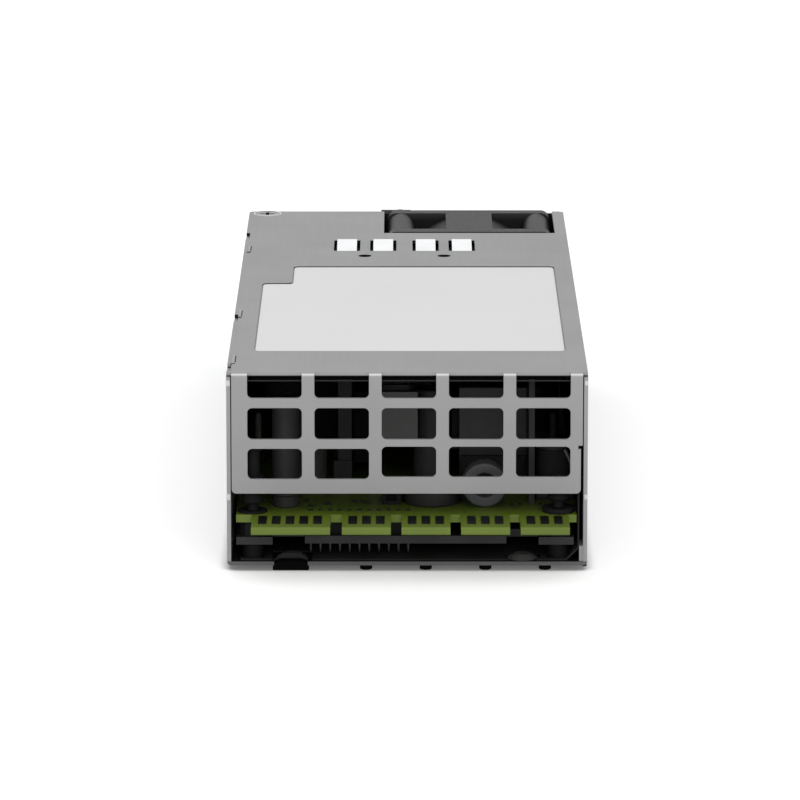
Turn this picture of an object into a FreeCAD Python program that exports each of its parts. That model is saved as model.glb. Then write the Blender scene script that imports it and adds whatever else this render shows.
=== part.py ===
"""Hot swap server power supply, built as a parametric FreeCAD document.

Case coordinates, in millimetres, are used for every dimension below:
  x  across the case, 0 on its middle plane
  y  0 on the outer face of the front grille, growing towards the mains inlet end
  z  0 on the underside of the chassis floor, growing upwards
Each finished piece is then seated in the part's own frame, whose origin is the
bottom centre of the whole part's bounding box.
"""
import FreeCAD, Part

import math
import os
import re

import Sketcher

Vector = FreeCAD.Vector

DIMENSIONS = [
    # Case
    ("case_wide", 73.5, "overall width of the case"),
    ("case_tall", 40.0, "chassis underside to the top of the cover"),
    ("cover_long", 185.3, "front grille to the rear edge of the cover"),
    ("tray_long", 186.9, "front edge of the floor to the rear panel"),
    ("sheet_thick", 0.8, "sheet of the chassis and the cover"),
    ("bend_radius", 0.8, "outer radius of a sheet bend"),
    ("stand_high", 1.1, "height of the pressed feet under the floor"),
    ("foot_radius", 1.2, "radius of a pressed foot"),
    ("foot_pitch", 12.19, "spacing of the pressed feet"),
    ("foot_first_x", -8.37, "first pressed foot"),
    ("foot_front_y", 1.7, "front row of pressed feet"),
    ("foot_rear_y", 176.0, "rear row of pressed feet"),
    ("lip_wide", 4.6, "inward lips at the top of the side walls"),
    ("ramp_x", 23.6, "raised lead-in dimples in the floor, each side"),
    ("ramp_radius", 3.3, "foot radius of a lead-in dimple"),
    ("ramp_high", 1.0, "rise of a lead-in dimple"),
    ("bumper_left", -27.2, "rubber bumper in the front edge of the floor"),
    ("bumper_right", -20.3, "right side of the bumper"),
    ("bumper_deep", 3.0, "depth of the bumper"),
    # Cover and front grille
    ("grille_half", 35.72, "half the width of the front flange"),
    ("grille_low", 15.05, "lower edge of the front flange"),
    ("window_first", -32.5, "left side of the first grille window"),
    ("window_wide", 11.1, "width of a grille window"),
    ("window_pitch", 13.66, "spacing of the grille windows"),
    ("window_radius", 1.0, "corner radius of a grille window"),
    ("row_top_low", 34.9, "top row, lower edge"),
    ("row_mid_low", 26.35, "middle row, lower edge"),
    ("row_mid_high", 32.87, "middle row, upper edge"),
    ("row_low_low", 18.05, "bottom row, lower edge of the two left windows"),
    ("row_low_high", 24.4, "bottom row, upper edge of the two left windows"),
    ("row_low_lift", 0.45, "bottom row, how much higher its three right windows sit"),
    ("label_left", -31.65, "label recess, left side at the front"),
    ("label_step_x", -25.15, "label recess, left side behind its step"),
    ("label_right", 32.85, "label recess, right side"),
    ("label_front", 23.0, "label recess, front side"),
    ("label_step_y", 96.7, "label recess, where it steps in"),
    ("label_rear", 116.35, "label recess, rear side"),
    ("label_deep", 0.3, "depth of the label recess"),
    ("label_corner", 1.5, "corner radius of the label recess"),
    ("label_thick", 0.15, "thickness of the blank label"),
    ("finger_wide", 4.45, "width of a grounding spring finger"),
    ("finger_gap", 0.75, "gap on each side of a spring finger"),
    ("finger_pitch", 8.2, "spacing of two fingers of one strip"),
    ("strip_pitch", 17.8, "spacing of the two spring strips"),
    ("finger_first", -13.48, "middle of the first spring finger"),
    ("finger_front", 135.2, "front end of the spring windows"),
    ("finger_rear", 148.0, "rear end of the spring windows"),
    ("finger_rise", 0.7, "height of the spring fingers above the cover"),
    ("spring_thick", 0.25, "thickness of the spring strip"),
    ("strip_hole_y", 129.1, "locating hole of a spring strip"),
    ("strip_hole_radius", 1.5, "radius of the locating hole"),
    ("notch_long", 7.0, "length of an edge notch of the cover"),
    ("notch_deep", 0.85, "depth of an edge notch of the cover"),
    ("cover_screw_x", -32.5, "cover screw beside the inlet"),
    ("cover_screw_y", 182.6, "cover screw beside the inlet"),
    ("cover_boss_radius", 3.6, "rounded ear of the cover round its screw"),
    ("wall_screw_y", 181.4, "screw of the rear panel through each side wall"),
    ("wall_screw_z", 33.0, "screw of the rear panel through each side wall"),
    # Boards
    ("board_thick", 1.6, "thickness of every circuit board"),
    ("board_low", 8.7, "underside of the main board"),
    ("board_left", -34.9, "left side of the main board"),
    ("board_right", 34.6, "right side of the main board"),
    ("board_front", 1.4, "front shoulders of the main board"),
    ("board_rear", 155.5, "rear edge of the main board beside the fan"),
    ("board_end", 166.0, "rear edge of the main board under the inlet"),
    ("tab_reach", 10.1, "card edge in front of the grille"),
    ("tab_first", -31.6, "left side of the wide card-edge tab"),
    ("tab_first_wide", 16.0, "width of the wide tab"),
    ("tab_next", -13.2, "left side of the first narrow tab"),
    ("tab_wide", 9.9, "width of a narrow tab"),
    ("tab_pitch", 12.07, "spacing of the narrow tabs"),
    ("contact_wide", 1.75, "width of a contact"),
    ("contact_long", 7.0, "length of a contact"),
    ("contact_pitch", 2.8, "spacing of the contacts"),
    ("contact_thick", 0.1, "thickness of a contact"),
    ("lower_low", 4.0, "underside of the lower board"),
    ("lower_front", 1.5, "front edge of the lower board, outer parts"),
    ("lower_rear", 58.0, "rear edge of the lower board"),
    ("lower_right", 34.05, "right side of the lower board"),
    ("slot_first", -27.5, "left side of the first cut-out of the lower board"),
    ("slot_second", 20.3, "left side of the second cut-out of the lower board"),
    ("slot_wide", 6.6, "width of the cut-outs of the lower board"),
    ("slot_deep", 7.0, "depth of the cut-outs of the lower board"),
    ("post_left_x", -31.6, "board posts, left side"),
    ("post_right_x", 31.0, "board posts, right side"),
    ("post_front_y", 4.6, "front board posts"),
    ("post_rear_y", 53.0, "rear board posts"),
    ("pin_pitch", 2.0, "spacing of the board-to-board pins"),
    ("pin_first", -19.75, "first board-to-board pin"),
    ("pin_y", 5.5, "row of board-to-board pins"),
    # Mains end
    ("panel_thick", 1.0, "rear panel"),
    ("fan_x", 14.53, "fan axis"),
    ("fan_z", 21.0, "fan axis"),
    ("fan_size", 38.0, "side of the fan frame"),
    ("fan_front", 158.86, "front face of the fan"),
    ("fan_deep", 28.0, "depth of the fan"),
    ("fan_flange", 3.9, "thickness of a fan flange"),
    ("fan_hole_half", 16.0, "half the spacing of the fan holes"),
    ("duct_radius", 18.5, "outside of the fan duct"),
    ("bore_radius", 17.6, "inside of the fan duct"),
    ("hub_radius", 9.2, "outside of the rotor hub"),
    ("blade_tip", 17.1, "radius of the blade tips"),
    ("shaft_radius", 1.0, "fan shaft"),
    ("bearing_radius", 3.0, "outside of the fan bearings"),
    ("hex_pitch", 5.4, "spacing of the honeycomb holes"),
    ("hex_radius", 2.66, "corner radius of a honeycomb hole"),
    ("inlet_x", -17.9, "middle of the mains inlet"),
    ("inlet_z", 21.8, "middle of the mains inlet"),
    ("inlet_wide", 26.4, "body of the mains inlet"),
    ("inlet_tall", 19.6, "body of the mains inlet"),
    ("inlet_rim", 0.4, "rim of the inlet outside the panel"),
    ("socket_wide", 24.0, "cavity of the inlet"),
    ("socket_tall", 16.0, "cavity of the inlet"),
    ("socket_deep", 16.5, "cavity of the inlet"),
    ("socket_corner", 4.6, "slanted corners of the cavity"),
    ("blade_pitch", 7.0, "spacing of the inlet blades"),
    ("blade_offset", 2.0, "blades above and below the inlet's middle"),
    ("handle_wide", 5.0, "width of the handle"),
    ("handle_end", 216.5, "outermost point of the handle"),
    ("handle_bar", 6.5, "thickness of the handle's grip"),
    ("ear_thick", 3.0, "screw ears of the handle"),
    # Release latch
    ("pivot_x", -34.1, "latch pivot"),
    ("pivot_y", 140.0, "latch pivot"),
    ("lever_thick", 1.0, "steel lever of the latch"),
    ("lever_low", 12.0, "lower edge of the lever"),
    ("lever_tall", 8.0, "height of the lever"),
    ("catch_reach", 1.5, "catch outside the side wall"),
    ("catch_front", 169.4, "front of the catch's ramp"),
    ("catch_rear", 174.6, "square rear face of the catch"),
    ("pin_radius", 1.0, "latch pin"),
]

NAMES = {name for name, value, note in DIMENSIONS}
VALUE = {name: value for name, value, note in DIMENSIONS}

# The part's frame: the catch, the card edge, the handle and the feet set the box.
SEAT = {
    "x": "catch_reach / 2",
    "y": "-(handle_end - tab_reach) / 2",
    "z": "stand_high",
}

NOTCHES_Y = (2.8, 54.4, 150.3)

doc = FreeCAD.newDocument("power_supply")
nodes = []


# ---------------------------------------------------------------- helpers

def fill_sheet():
    """Put the driving dimensions in a spreadsheet with an alias for each."""
    sheet = doc.addObject("Spreadsheet::Sheet", "dims")
    for row, (name, value, note) in enumerate(DIMENSIONS, start=1):
        sheet.set("A%d" % row, name)
        sheet.set("B%d" % row, str(value))
        sheet.set("C%d" % row, note)
        sheet.setAlias("B%d" % row, name)
    doc.recompute()


def on_sheet(text):
    """Turn a formula in alias names into a FreeCAD expression."""
    def cell(match):
        word = match.group(0)
        return "dims." + word if word in NAMES else word
    return re.sub(r"[a-z]\w*", cell, str(text))


def bind(item, **formulas):
    """Bind properties of an object to formulas."""
    for name, formula in formulas.items():
        item.setExpression(name, on_sheet(formula))


def place(item, x, y, z):
    """Bind the corner or centre of an object to formulas."""
    for axis, formula in zip("xyz", (x, y, z)):
        item.setExpression(".Placement.Base." + axis, on_sheet(formula))


def turn(item, axis, degrees):
    item.Placement = FreeCAD.Placement(Vector(), FreeCAD.Rotation(axis, degrees))


TURNS = {
    "z": (Vector(0, 0, 1), 0),
    "y": (Vector(1, 0, 0), -90),
    "x": (Vector(0, 1, 0), 90),
}


def node(item, label):
    """Give a finished piece its label and its seat in the part's frame."""
    item.Label = label
    place(item, SEAT["x"], SEAT["y"], SEAT["z"])
    nodes.append(item)
    return item


# Part primitives, in case coordinates

def block(x, y, z):
    """A box between pairs of formulas: x, y and z are (low, high)."""
    item = doc.addObject("Part::Box", "block")
    bind(item, Length="(%s) - (%s)" % (x[1], x[0]),
         Width="(%s) - (%s)" % (y[1], y[0]),
         Height="(%s) - (%s)" % (z[1], z[0]))
    place(item, x[0], y[0], z[0])
    return item


def rod(radius, start, length, axis="z"):
    """A cylinder from its start point along an axis."""
    item = doc.addObject("Part::Cylinder", "rod")
    bind(item, Radius=radius, Height=length)
    turn(item, *TURNS[axis])
    place(item, *start)
    return item


def cone(radius_1, radius_2, start, length, axis="z"):
    item = doc.addObject("Part::Cone", "cone")
    bind(item, Radius1=radius_1, Radius2=radius_2, Height=length)
    turn(item, *TURNS[axis])
    place(item, *start)
    return item


def prism(sides, radius, start, length, axis="z"):
    """A regular prism round an axis, for hexagons and for small hidden round pieces."""
    item = doc.addObject("Part::Prism", "prism")
    item.Polygon = sides
    bind(item, Circumradius=radius, Height=length)
    turn(item, *TURNS[axis])
    place(item, *start)
    return item


def cut(base, *tools):
    for tool in tools:
        item = doc.addObject("Part::Cut", "cut")
        item.Base = base
        item.Tool = tool
        base = item
    return base


def fuse(*items):
    item = doc.addObject("Part::MultiFuse", "fuse")
    item.Shapes = list(items)
    item.Refine = True
    return item


def group(items):
    """Separate solids that share a node."""
    item = doc.addObject("Part::Compound", "group")
    item.Links = list(items)
    return item


# PartDesign bodies

def new_body():
    return doc.addObject("PartDesign::Body", "body")


def origin_item(body, role):
    return [item for item in body.Origin.OriginFeatures if item.Role == role][0]


def sketch_on(body, role, offset="0"):
    """A sketch on a plane of the body's origin, moved along the plane's normal."""
    sketch = body.newObject("Sketcher::SketchObject", "sketch")
    sketch.AttachmentSupport = [(origin_item(body, role), "")]
    sketch.MapMode = "FlatFace"
    sketch.setExpression(".AttachmentOffset.Base.z", on_sheet(offset))
    return sketch


def pin_point(sketch, geometry, point, x=None, y=None):
    """Dimension a point from the sketch's origin."""
    for kind, formula in (("DistanceX", x), ("DistanceY", y)):
        if formula is not None:
            index = sketch.addConstraint(Sketcher.Constraint(kind, -1, 1, geometry, point, 1.0))
            sketch.setExpression("Constraints[%d]" % index, on_sheet(formula))


def draw_outline(sketch, points):
    """A closed outline of straight lines through points given as formulas."""
    first = sketch.GeometryCount
    count = len(points)
    rough = [Vector(math.cos(2 * math.pi * i / count), math.sin(2 * math.pi * i / count), 0)
             for i in range(count)]
    lines = [Part.LineSegment(rough[i], rough[(i + 1) % count]) for i in range(count)]
    sketch.addGeometry(lines, False)
    for i in range(count):
        sketch.addConstraint(
            Sketcher.Constraint("Coincident", first + i, 2, first + (i + 1) % count, 1))
    for i, (x, y) in enumerate(points):
        pin_point(sketch, first + i, 1, x, y)


def draw_rectangle(sketch, x, y):
    draw_outline(sketch, [(x[0], y[0]), (x[1], y[0]), (x[1], y[1]), (x[0], y[1])])


def draw_rounded(sketch, x, y, radius):
    """A rectangle with round corners: four lines tangent to four equal arcs."""
    low, high, bend = 0.0, 10.0, 1.0
    up, quarter = Vector(0, 0, 1), math.pi / 2
    first = sketch.addGeometry([
        Part.LineSegment(Vector(low + bend, low, 0), Vector(high - bend, low, 0)),
        Part.LineSegment(Vector(high, low + bend, 0), Vector(high, high - bend, 0)),
        Part.LineSegment(Vector(high - bend, high, 0), Vector(low + bend, high, 0)),
        Part.LineSegment(Vector(low, high - bend, 0), Vector(low, low + bend, 0)),
    ], False)[0]
    corners = [(high - bend, low + bend), (high - bend, high - bend),
               (low + bend, high - bend), (low + bend, low + bend)]
    arcs = []
    for i, (cx, cy) in enumerate(corners):
        circle = Part.Circle(Vector(cx, cy, 0), up, bend)
        start = (i - 1) * quarter
        arcs.append(Part.ArcOfCircle(circle, start, start + quarter))
    arc = sketch.addGeometry(arcs, False)[0]
    for i in range(4):
        sketch.addConstraint(Sketcher.Constraint("Tangent", first + i, 2, arc + i, 1))
        sketch.addConstraint(Sketcher.Constraint("Tangent", arc + i, 2, first + (i + 1) % 4, 1))
    for i in (1, 2, 3):
        sketch.addConstraint(Sketcher.Constraint("Equal", arc, arc + i))
    for i, kind in enumerate(("Horizontal", "Vertical", "Horizontal", "Vertical")):
        sketch.addConstraint(Sketcher.Constraint(kind, first + i))
    size = sketch.addConstraint(Sketcher.Constraint("Radius", arc, bend))
    sketch.setExpression("Constraints[%d]" % size, on_sheet(radius))
    pin_point(sketch, first, 1, y=y[0])
    pin_point(sketch, first + 1, 1, x=x[1])
    pin_point(sketch, first + 2, 1, y=y[1])
    pin_point(sketch, first + 3, 1, x=x[0])


def pad(body, sketch, length, backwards=False, both_sides=False):
    item = body.newObject("PartDesign::Pad", "pad")
    item.Profile = sketch
    bind(item, Length=length)
    item.Reversed = backwards
    item.Midplane = both_sides
    return item


def pocket(body, sketch, length, backwards=False):
    """A pocket that must take material away."""
    before = solid_of(body).Volume
    item = body.newObject("PartDesign::Pocket", "pocket")
    item.Profile = sketch
    bind(item, Length=length)
    item.Reversed = backwards
    if solid_of(body).Volume > before - 1e-6:
        raise RuntimeError("a pocket of %s cuts nothing" % body.Label)
    return item


def solid_of(body):
    doc.recompute()
    return body.Tip.Shape


def body_block(body, x, y, z, add=True):
    """A box feature of a body between pairs of formulas."""
    kind = "PartDesign::AdditiveBox" if add else "PartDesign::SubtractiveBox"
    item = body.newObject(kind, "block")
    bind(item, Length="(%s) - (%s)" % (x[1], x[0]),
         Width="(%s) - (%s)" % (y[1], y[0]),
         Height="(%s) - (%s)" % (z[1], z[0]))
    place(item, x[0], y[0], z[0])
    return item


def body_rod(body, radius, start, length, axis="z", add=True):
    kind = "PartDesign::AdditiveCylinder" if add else "PartDesign::SubtractiveCylinder"
    item = body.newObject(kind, "rod")
    bind(item, Radius=radius, Height=length)
    turn(item, *TURNS[axis])
    place(item, *start)
    return item


def body_cone(body, radius_1, radius_2, start, length, axis="z", add=True):
    kind = "PartDesign::AdditiveCone" if add else "PartDesign::SubtractiveCone"
    item = body.newObject(kind, "cone")
    bind(item, Radius1=radius_1, Radius2=radius_2, Height=length)
    turn(item, *TURNS[axis])
    place(item, *start)
    return item


def body_prism(body, sides, radius, start, length, axis="z", add=True):
    kind = "PartDesign::AdditivePrism" if add else "PartDesign::SubtractivePrism"
    item = body.newObject(kind, "prism")
    item.Polygon = sides
    bind(item, Circumradius=radius, Height=length)
    turn(item, *TURNS[axis])
    place(item, *start)
    return item


def row_of(body, feature, axis, pitch, count):
    """Repeat a feature along an axis of the body's origin."""
    item = body.newObject("PartDesign::LinearPattern", "row")
    item.Originals = [feature]
    item.Direction = (origin_item(body, axis), [""])
    bind(item, Length="(%s) * %d" % (pitch, count - 1))
    item.Occurrences = count
    body.Tip = item
    return item


def round_edges(body, radius, wanted, kind="Fillet"):
    """Fillet or chamfer the edges of the body that a test on their box accepts."""
    base = body.Tip
    shape = solid_of(body)
    names = ["Edge%d" % i for i, edge in enumerate(shape.Edges, start=1)
             if wanted(edge.BoundBox)]
    if not names:
        raise RuntimeError("no edge to round on %s" % body.Label)
    item = body.newObject("PartDesign::" + kind, "edges")
    item.Base = (base, names)
    bind(item, **{"Radius" if kind == "Fillet" else "Size": radius})
    return item


def near(value, target, slack=0.02):
    return abs(value - target) < slack


# ---------------------------------------------------------------- case

def chassis_tray():
    """Floor and two side walls, with lips, pressed feet and lead-in dimples."""
    body = new_body()
    half = VALUE["case_wide"] / 2
    outer = sketch_on(body, "XZ_Plane")
    draw_rectangle(outer, ("-case_wide / 2", "case_wide / 2"), ("0", "case_tall - sheet_thick"))
    pad(body, outer, "tray_long", backwards=True)
    round_edges(body, "bend_radius",
                lambda box: box.YLength > 100 and near(box.ZMax, 0) and near(abs(box.XMax), half))
    inside = ("-case_wide / 2 + sheet_thick", "case_wide / 2 - sheet_thick")
    body_block(body, inside, ("-1", "tray_long + 1"), ("sheet_thick", "case_tall"), add=False)
    lip_z = ("case_tall - 2 * sheet_thick", "case_tall - sheet_thick")
    body_block(body, ("-case_wide / 2", "-case_wide / 2 + lip_wide"), ("3", "174"), lip_z)
    body_block(body, ("case_wide / 2 - lip_wide", "case_wide / 2"), ("3", "150"), lip_z)
    for row_y in ("foot_front_y", "foot_rear_y"):
        foot = body_prism(body, 12, "foot_radius", ("foot_first_x", row_y, "-stand_high"),
                          "stand_high + sheet_thick / 2")
        row_of(body, foot, "X_Axis", "foot_pitch", 4)
    for x, y in (("ramp_x", "ramp_radius + 0.1"), ("-ramp_x", "bumper_deep + 1")):
        body_cone(body, "ramp_radius", "ramp_radius / 2", (x, y, "sheet_thick"), "ramp_high")
    body_block(body, ("bumper_left", "bumper_right"), ("-1", "bumper_deep"), ("-1", "2"),
               add=False)
    wall_tab = ("case_wide / 2 - 2 * sheet_thick", "case_wide / 2 - sheet_thick")
    body_block(body, wall_tab, ("0.3", "6"), ("sheet_thick / 2", "4"))
    body_block(body, ("-case_wide / 2 - 1", "-case_wide / 2 + 1"),
               ("catch_front - 0.8", "catch_rear + 1.4"),
               ("lever_low - 0.2", "lever_low + lever_tall + 0.2"), add=False)
    body_rod(body, "1.6", ("-case_wide / 2 - 1", "wall_screw_y", "wall_screw_z"),
             "case_wide + 2", "x", add=False)
    return node(body, "chassis_tray")


def grille_row(body, first, count, low, high):
    """A row of windows with round corners through the front flange."""
    sketch = sketch_on(body, "XZ_Plane", "0.5")
    left = "window_first + %d * window_pitch" % first
    draw_rounded(sketch, (left, left + " + window_wide"), (low, high), "window_radius")
    window = pocket(body, sketch, "sheet_thick + 0.7")
    row_of(body, window, "X_Axis", "window_pitch", count)


def top_cover():
    """Top sheet bent down into the front grille."""
    body = new_body()
    profile = sketch_on(body, "YZ_Plane")
    draw_outline(profile, [
        ("0", "grille_low"), ("sheet_thick", "grille_low"),
        ("sheet_thick", "case_tall - sheet_thick"), ("cover_long", "case_tall - sheet_thick"),
        ("cover_long", "case_tall"), ("0", "case_tall")])
    pad(body, profile, "case_wide", both_sides=True)
    top = VALUE["case_tall"]
    half = VALUE["case_wide"] / 2
    long = VALUE["cover_long"]
    round_edges(body, "bend_radius - 0.05",
                lambda box: box.XLength > 50 and near(box.YMax, 0) and near(box.ZMax, top))
    round_edges(body, "1.4",
                lambda box: near(box.YMin, long) and box.ZLength < 1 and box.ZMin > 38
                and box.XLength < 0.1)
    for side in ("-1", "1"):
        middle = side + " * (grille_half + 5)"
        body_block(body, (middle + " - 5", middle + " + 5"), ("-1", "1.1"),
                   ("grille_low - 1", "case_tall + 1"), add=False)
    body_block(body, ("grille_half - 0.35", "grille_half + 1"), ("-1", "1.1"),
               ("grille_low - 1", "24.4"), add=False)
    body_block(body, ("grille_half - 0.9", "grille_half + 1"), ("-1", "1.1"), ("24.3", "25.05"),
               add=False)
    round_edges(body, "0.9",
                lambda box: near(box.ZMin, VALUE["grille_low"]) and box.YLength > 0.5
                and box.XLength < 0.1 and box.ZLength < 0.1)
    grille_row(body, 0, 2, "row_low_low", "row_low_high")
    grille_row(body, 2, 3, "row_low_low + row_low_lift", "row_low_high + row_low_lift")
    grille_row(body, 0, 5, "row_mid_low", "row_mid_high")
    grille_row(body, 0, 5, "row_top_low", "case_tall + window_radius + 1")
    recess = sketch_on(body, "XY_Plane", "case_tall")
    draw_outline(recess, [
        ("label_left", "label_front"), ("label_right", "label_front"),
        ("label_right", "label_rear"), ("label_step_x", "label_rear"),
        ("label_step_x", "label_step_y"), ("label_left", "label_step_y")])
    pocket(body, recess, "label_deep")
    floor = VALUE["case_tall"] - VALUE["label_deep"]
    round_edges(body, "label_corner", lambda box: near(box.ZMin, floor) and box.ZLength > 0.1
                and near(box.XLength, 0) and near(box.YLength, 0))
    for strip in range(2):
        for finger in range(2):
            middle = "finger_first + %d * strip_pitch + %d * finger_pitch" % (strip, finger)
            reach = "(finger_wide / 2 + finger_gap)"
            body_block(body, (middle + " - " + reach, middle + " + " + reach),
                       ("finger_front", "finger_rear"), ("case_tall - 2", "case_tall + 1"),
                       add=False)
        hole_x = "finger_first + %d * strip_pitch + finger_pitch / 2" % strip
        body_rod(body, "strip_hole_radius", (hole_x, "strip_hole_y", "case_tall - 2"), "3",
                 add=False)
    body_block(body, ("fan_x - fan_size / 2 - 0.7", "fan_x + fan_size / 2 + 0.6"),
               ("fan_front - 1.5", "cover_long + 1"), ("case_tall - 2", "case_tall + 1"),
               add=False)
    for y in NOTCHES_Y:
        body_block(body, ("-case_wide / 2 - 1", "-case_wide / 2 + notch_deep"),
                   (str(y), "%s + notch_long" % y), ("case_tall - 2", "case_tall + 1"), add=False)
    body_rod(body, "cover_boss_radius",
             ("cover_screw_x", "cover_screw_y", "case_tall - sheet_thick"), "sheet_thick")
    body_cone(body, "1.7", "2.9",
              ("cover_screw_x", "cover_screw_y", "case_tall - sheet_thick"), "sheet_thick",
              add=False)
    body.Label = "top_cover"
    return node(body, "top_cover")


# rows of hexagonal holes: steps from the fan axis, number of holes
HONEYCOMB_ROWS = ((-3, 2), (-2, 5), (-1, 6), (0, 5), (1, 6), (2, 5), (3, 2))


def honeycomb(body):
    """Rows of hexagonal holes through the panel in front of the fan."""
    for step, count in HONEYCOMB_ROWS:
        sketch = sketch_on(body, "XZ_Plane", "-(tray_long - 1)")
        centre_x = "fan_x - %.1f * hex_pitch" % ((count - 1) / 2)
        centre_z = "fan_z + %.5f * hex_pitch" % (step * math.sqrt(0.75))
        corners = []
        for i in range(6):
            angle = math.radians(30 + 60 * i)
            corners.append((centre_x + " + %.5f * hex_radius" % math.cos(angle),
                            centre_z + " + %.5f * hex_radius" % math.sin(angle)))
        draw_outline(sketch, corners)
        hole = pocket(body, sketch, "panel_thick + 2")
        row_of(body, hole, "X_Axis", "hex_pitch", count)


def rear_panel():
    """Mains end panel with side ears, a top tab, the openings and the fan's honeycomb."""
    body = new_body()
    plate = sketch_on(body, "XZ_Plane", "-tray_long")
    draw_rectangle(plate, ("-case_wide / 2", "case_wide / 2"), ("0", "case_tall - sheet_thick"))
    pad(body, plate, "panel_thick", backwards=True)
    inner = "case_wide / 2 - sheet_thick"
    ear_y = ("tray_long - 10", "tray_long + panel_thick / 2")
    body_block(body, (inner + " - panel_thick", inner), ear_y, ("1.2", "37.8"))
    body_block(body, ("-(%s)" % inner, "-(%s) + panel_thick" % inner), ear_y, ("1.2", "9.8"))
    body_block(body, ("-(%s)" % inner, "-(%s) + panel_thick" % inner), ear_y, ("22", "37.8"))
    body_block(body, ("cover_screw_x - 3.4", "cover_screw_x + 4"),
               ("cover_screw_y - 5", "tray_long + panel_thick / 2"),
               ("case_tall - 2 * sheet_thick", "case_tall - sheet_thick"))
    body_prism(body, 8, "1.3", ("cover_screw_x", "cover_screw_y", "case_tall - 3"), "3",
               add=False)
    through = ("tray_long - 1", "tray_long + panel_thick + 1")
    honeycomb(body)
    body_block(body, ("inlet_x - inlet_wide / 2 - 0.05", "inlet_x + inlet_wide / 2 + 0.05"),
               through, ("inlet_z - inlet_tall / 2 - 0.05", "inlet_z + inlet_tall / 2 + 0.05"),
               add=False)
    body_block(body, ("-(%s)" % inner, "-(%s) + 3.75" % inner), through,
               ("lever_low - 0.4", "lever_low + lever_tall + 0.4"), add=False)
    body_prism(body, 12, "1.65", ("-26", through[0], "35.6"), "panel_thick + 2", "y", add=False)
    for x in (-1, 1):
        for z in (-1, 1):
            body_prism(body, 8, "1.45", ("fan_x + %d * fan_hole_half" % x, through[0],
                                         "fan_z + %d * fan_hole_half" % z),
                       "panel_thick + 2", "y", add=False)
    body_prism(body, 8, "1.3", ("-case_wide / 2 - 1", "wall_screw_y", "wall_screw_z"),
               "case_wide + 2", "x", add=False)
    return node(body, "rear_panel")


def cover_screws():
    """One countersunk screw through the cover and one flat screw through each side wall."""
    at = ("cover_screw_x", "cover_screw_y", "case_tall - sheet_thick + 0.05")
    screws = [fuse(cone("1.6", "2.75", at, "sheet_thick - 0.05"),
                   prism(8, "1.15", (at[0], at[1], "case_tall - 4"), "3.5"))]
    for side in (-1, 1):
        start = ("%d * (case_wide / 2 - 0.05)" % side, "wall_screw_y", "wall_screw_z")
        head = rod("1.5", start, "0.7", "x")
        shank = prism(8, "1.15", start, "2.6", "x")
        for piece in (head, shank):
            if side > 0:
                turn(piece, Vector(0, 1, 0), -90)
        screws.append(fuse(head, shank))
    return node(group(screws), "cover_screws")


def label_blank():
    """Bare label sheet lying in the cover's recess."""
    body = new_body()
    sketch = sketch_on(body, "XY_Plane", "case_tall - label_deep")
    margin = 0.25
    draw_outline(sketch, [
        ("label_left + %s" % margin, "label_front + %s" % margin),
        ("label_right - %s" % margin, "label_front + %s" % margin),
        ("label_right - %s" % margin, "label_rear - %s" % margin),
        ("label_step_x + %s" % margin, "label_rear - %s" % margin),
        ("label_step_x + %s" % margin, "label_step_y - %s" % margin),
        ("label_left + %s" % margin, "label_step_y - %s" % margin)])
    pad(body, sketch, "label_thick")
    round_edges(body, "label_corner - %s" % margin, lambda box: box.ZLength > 0.1
                and near(box.XLength, 0) and near(box.YLength, 0))
    return node(body, "label_blank")


def grounding_springs():
    """Two spring strips under the cover; each has two bowed fingers in its windows."""
    for strip, label in enumerate(("grounding_spring_left", "grounding_spring_right")):
        middle = "finger_first + %d * strip_pitch + finger_pitch / 2" % strip
        body = new_body()
        plate = sketch_on(body, "XY_Plane", "case_tall - sheet_thick - spring_thick")
        draw_rectangle(plate, (middle + " - 7.9", middle + " + 7.9"),
                       ("strip_hole_y - 3", "finger_rear + 2.5"))
        pad(body, plate, "spring_thick")
        body_rod(body, "strip_hole_radius", (middle, "strip_hole_y", "case_tall - 2"), "3",
                 add=False)
        for finger in range(2):
            centre = "finger_first + %d * strip_pitch + %d * finger_pitch" % (strip, finger)
            reach = "(finger_wide / 2 + finger_gap)"
            body_block(body, (centre + " - " + reach, centre + " + " + reach),
                       ("finger_front + 0.5", "finger_rear"), ("case_tall - 2", "case_tall + 1"),
                       add=False)
            side = sketch_on(body, "YZ_Plane", centre)
            low = "case_tall - sheet_thick - spring_thick"
            top = "case_tall + finger_rise"
            draw_outline(side, [
                ("finger_front - 1.5", low), ("finger_front + 0.4", low),
                ("finger_front + 2.6", top + " - 2 * spring_thick"),
                ("finger_front + 6.5", top + " - spring_thick"),
                ("finger_rear - 2.0", top + " - 1.4 * spring_thick"),
                ("finger_rear - 0.3", "case_tall - 0.6"), ("finger_rear - 0.05", "case_tall - 0.4"),
                ("finger_rear - 1.6", top + " - 0.4 * spring_thick"),
                ("finger_front + 6.5", top),
                ("finger_front + 2.2", top + " - spring_thick"),
                ("finger_front + 0.2", low + " + spring_thick"),
                ("finger_front - 1.5", low + " + spring_thick")])
            pad(body, side, "finger_wide", both_sides=True)
        node(body, label)


def front_bumper():
    """Rubber block in the front notch of the floor; it stands as high as the pressed feet."""
    item = block(("bumper_left + 0.05", "bumper_right - 0.05"), ("0.1", "bumper_deep - 0.05"),
                 ("-stand_high", "sheet_thick - 0.1"))
    return node(group([item]), "front_bumper")


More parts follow.
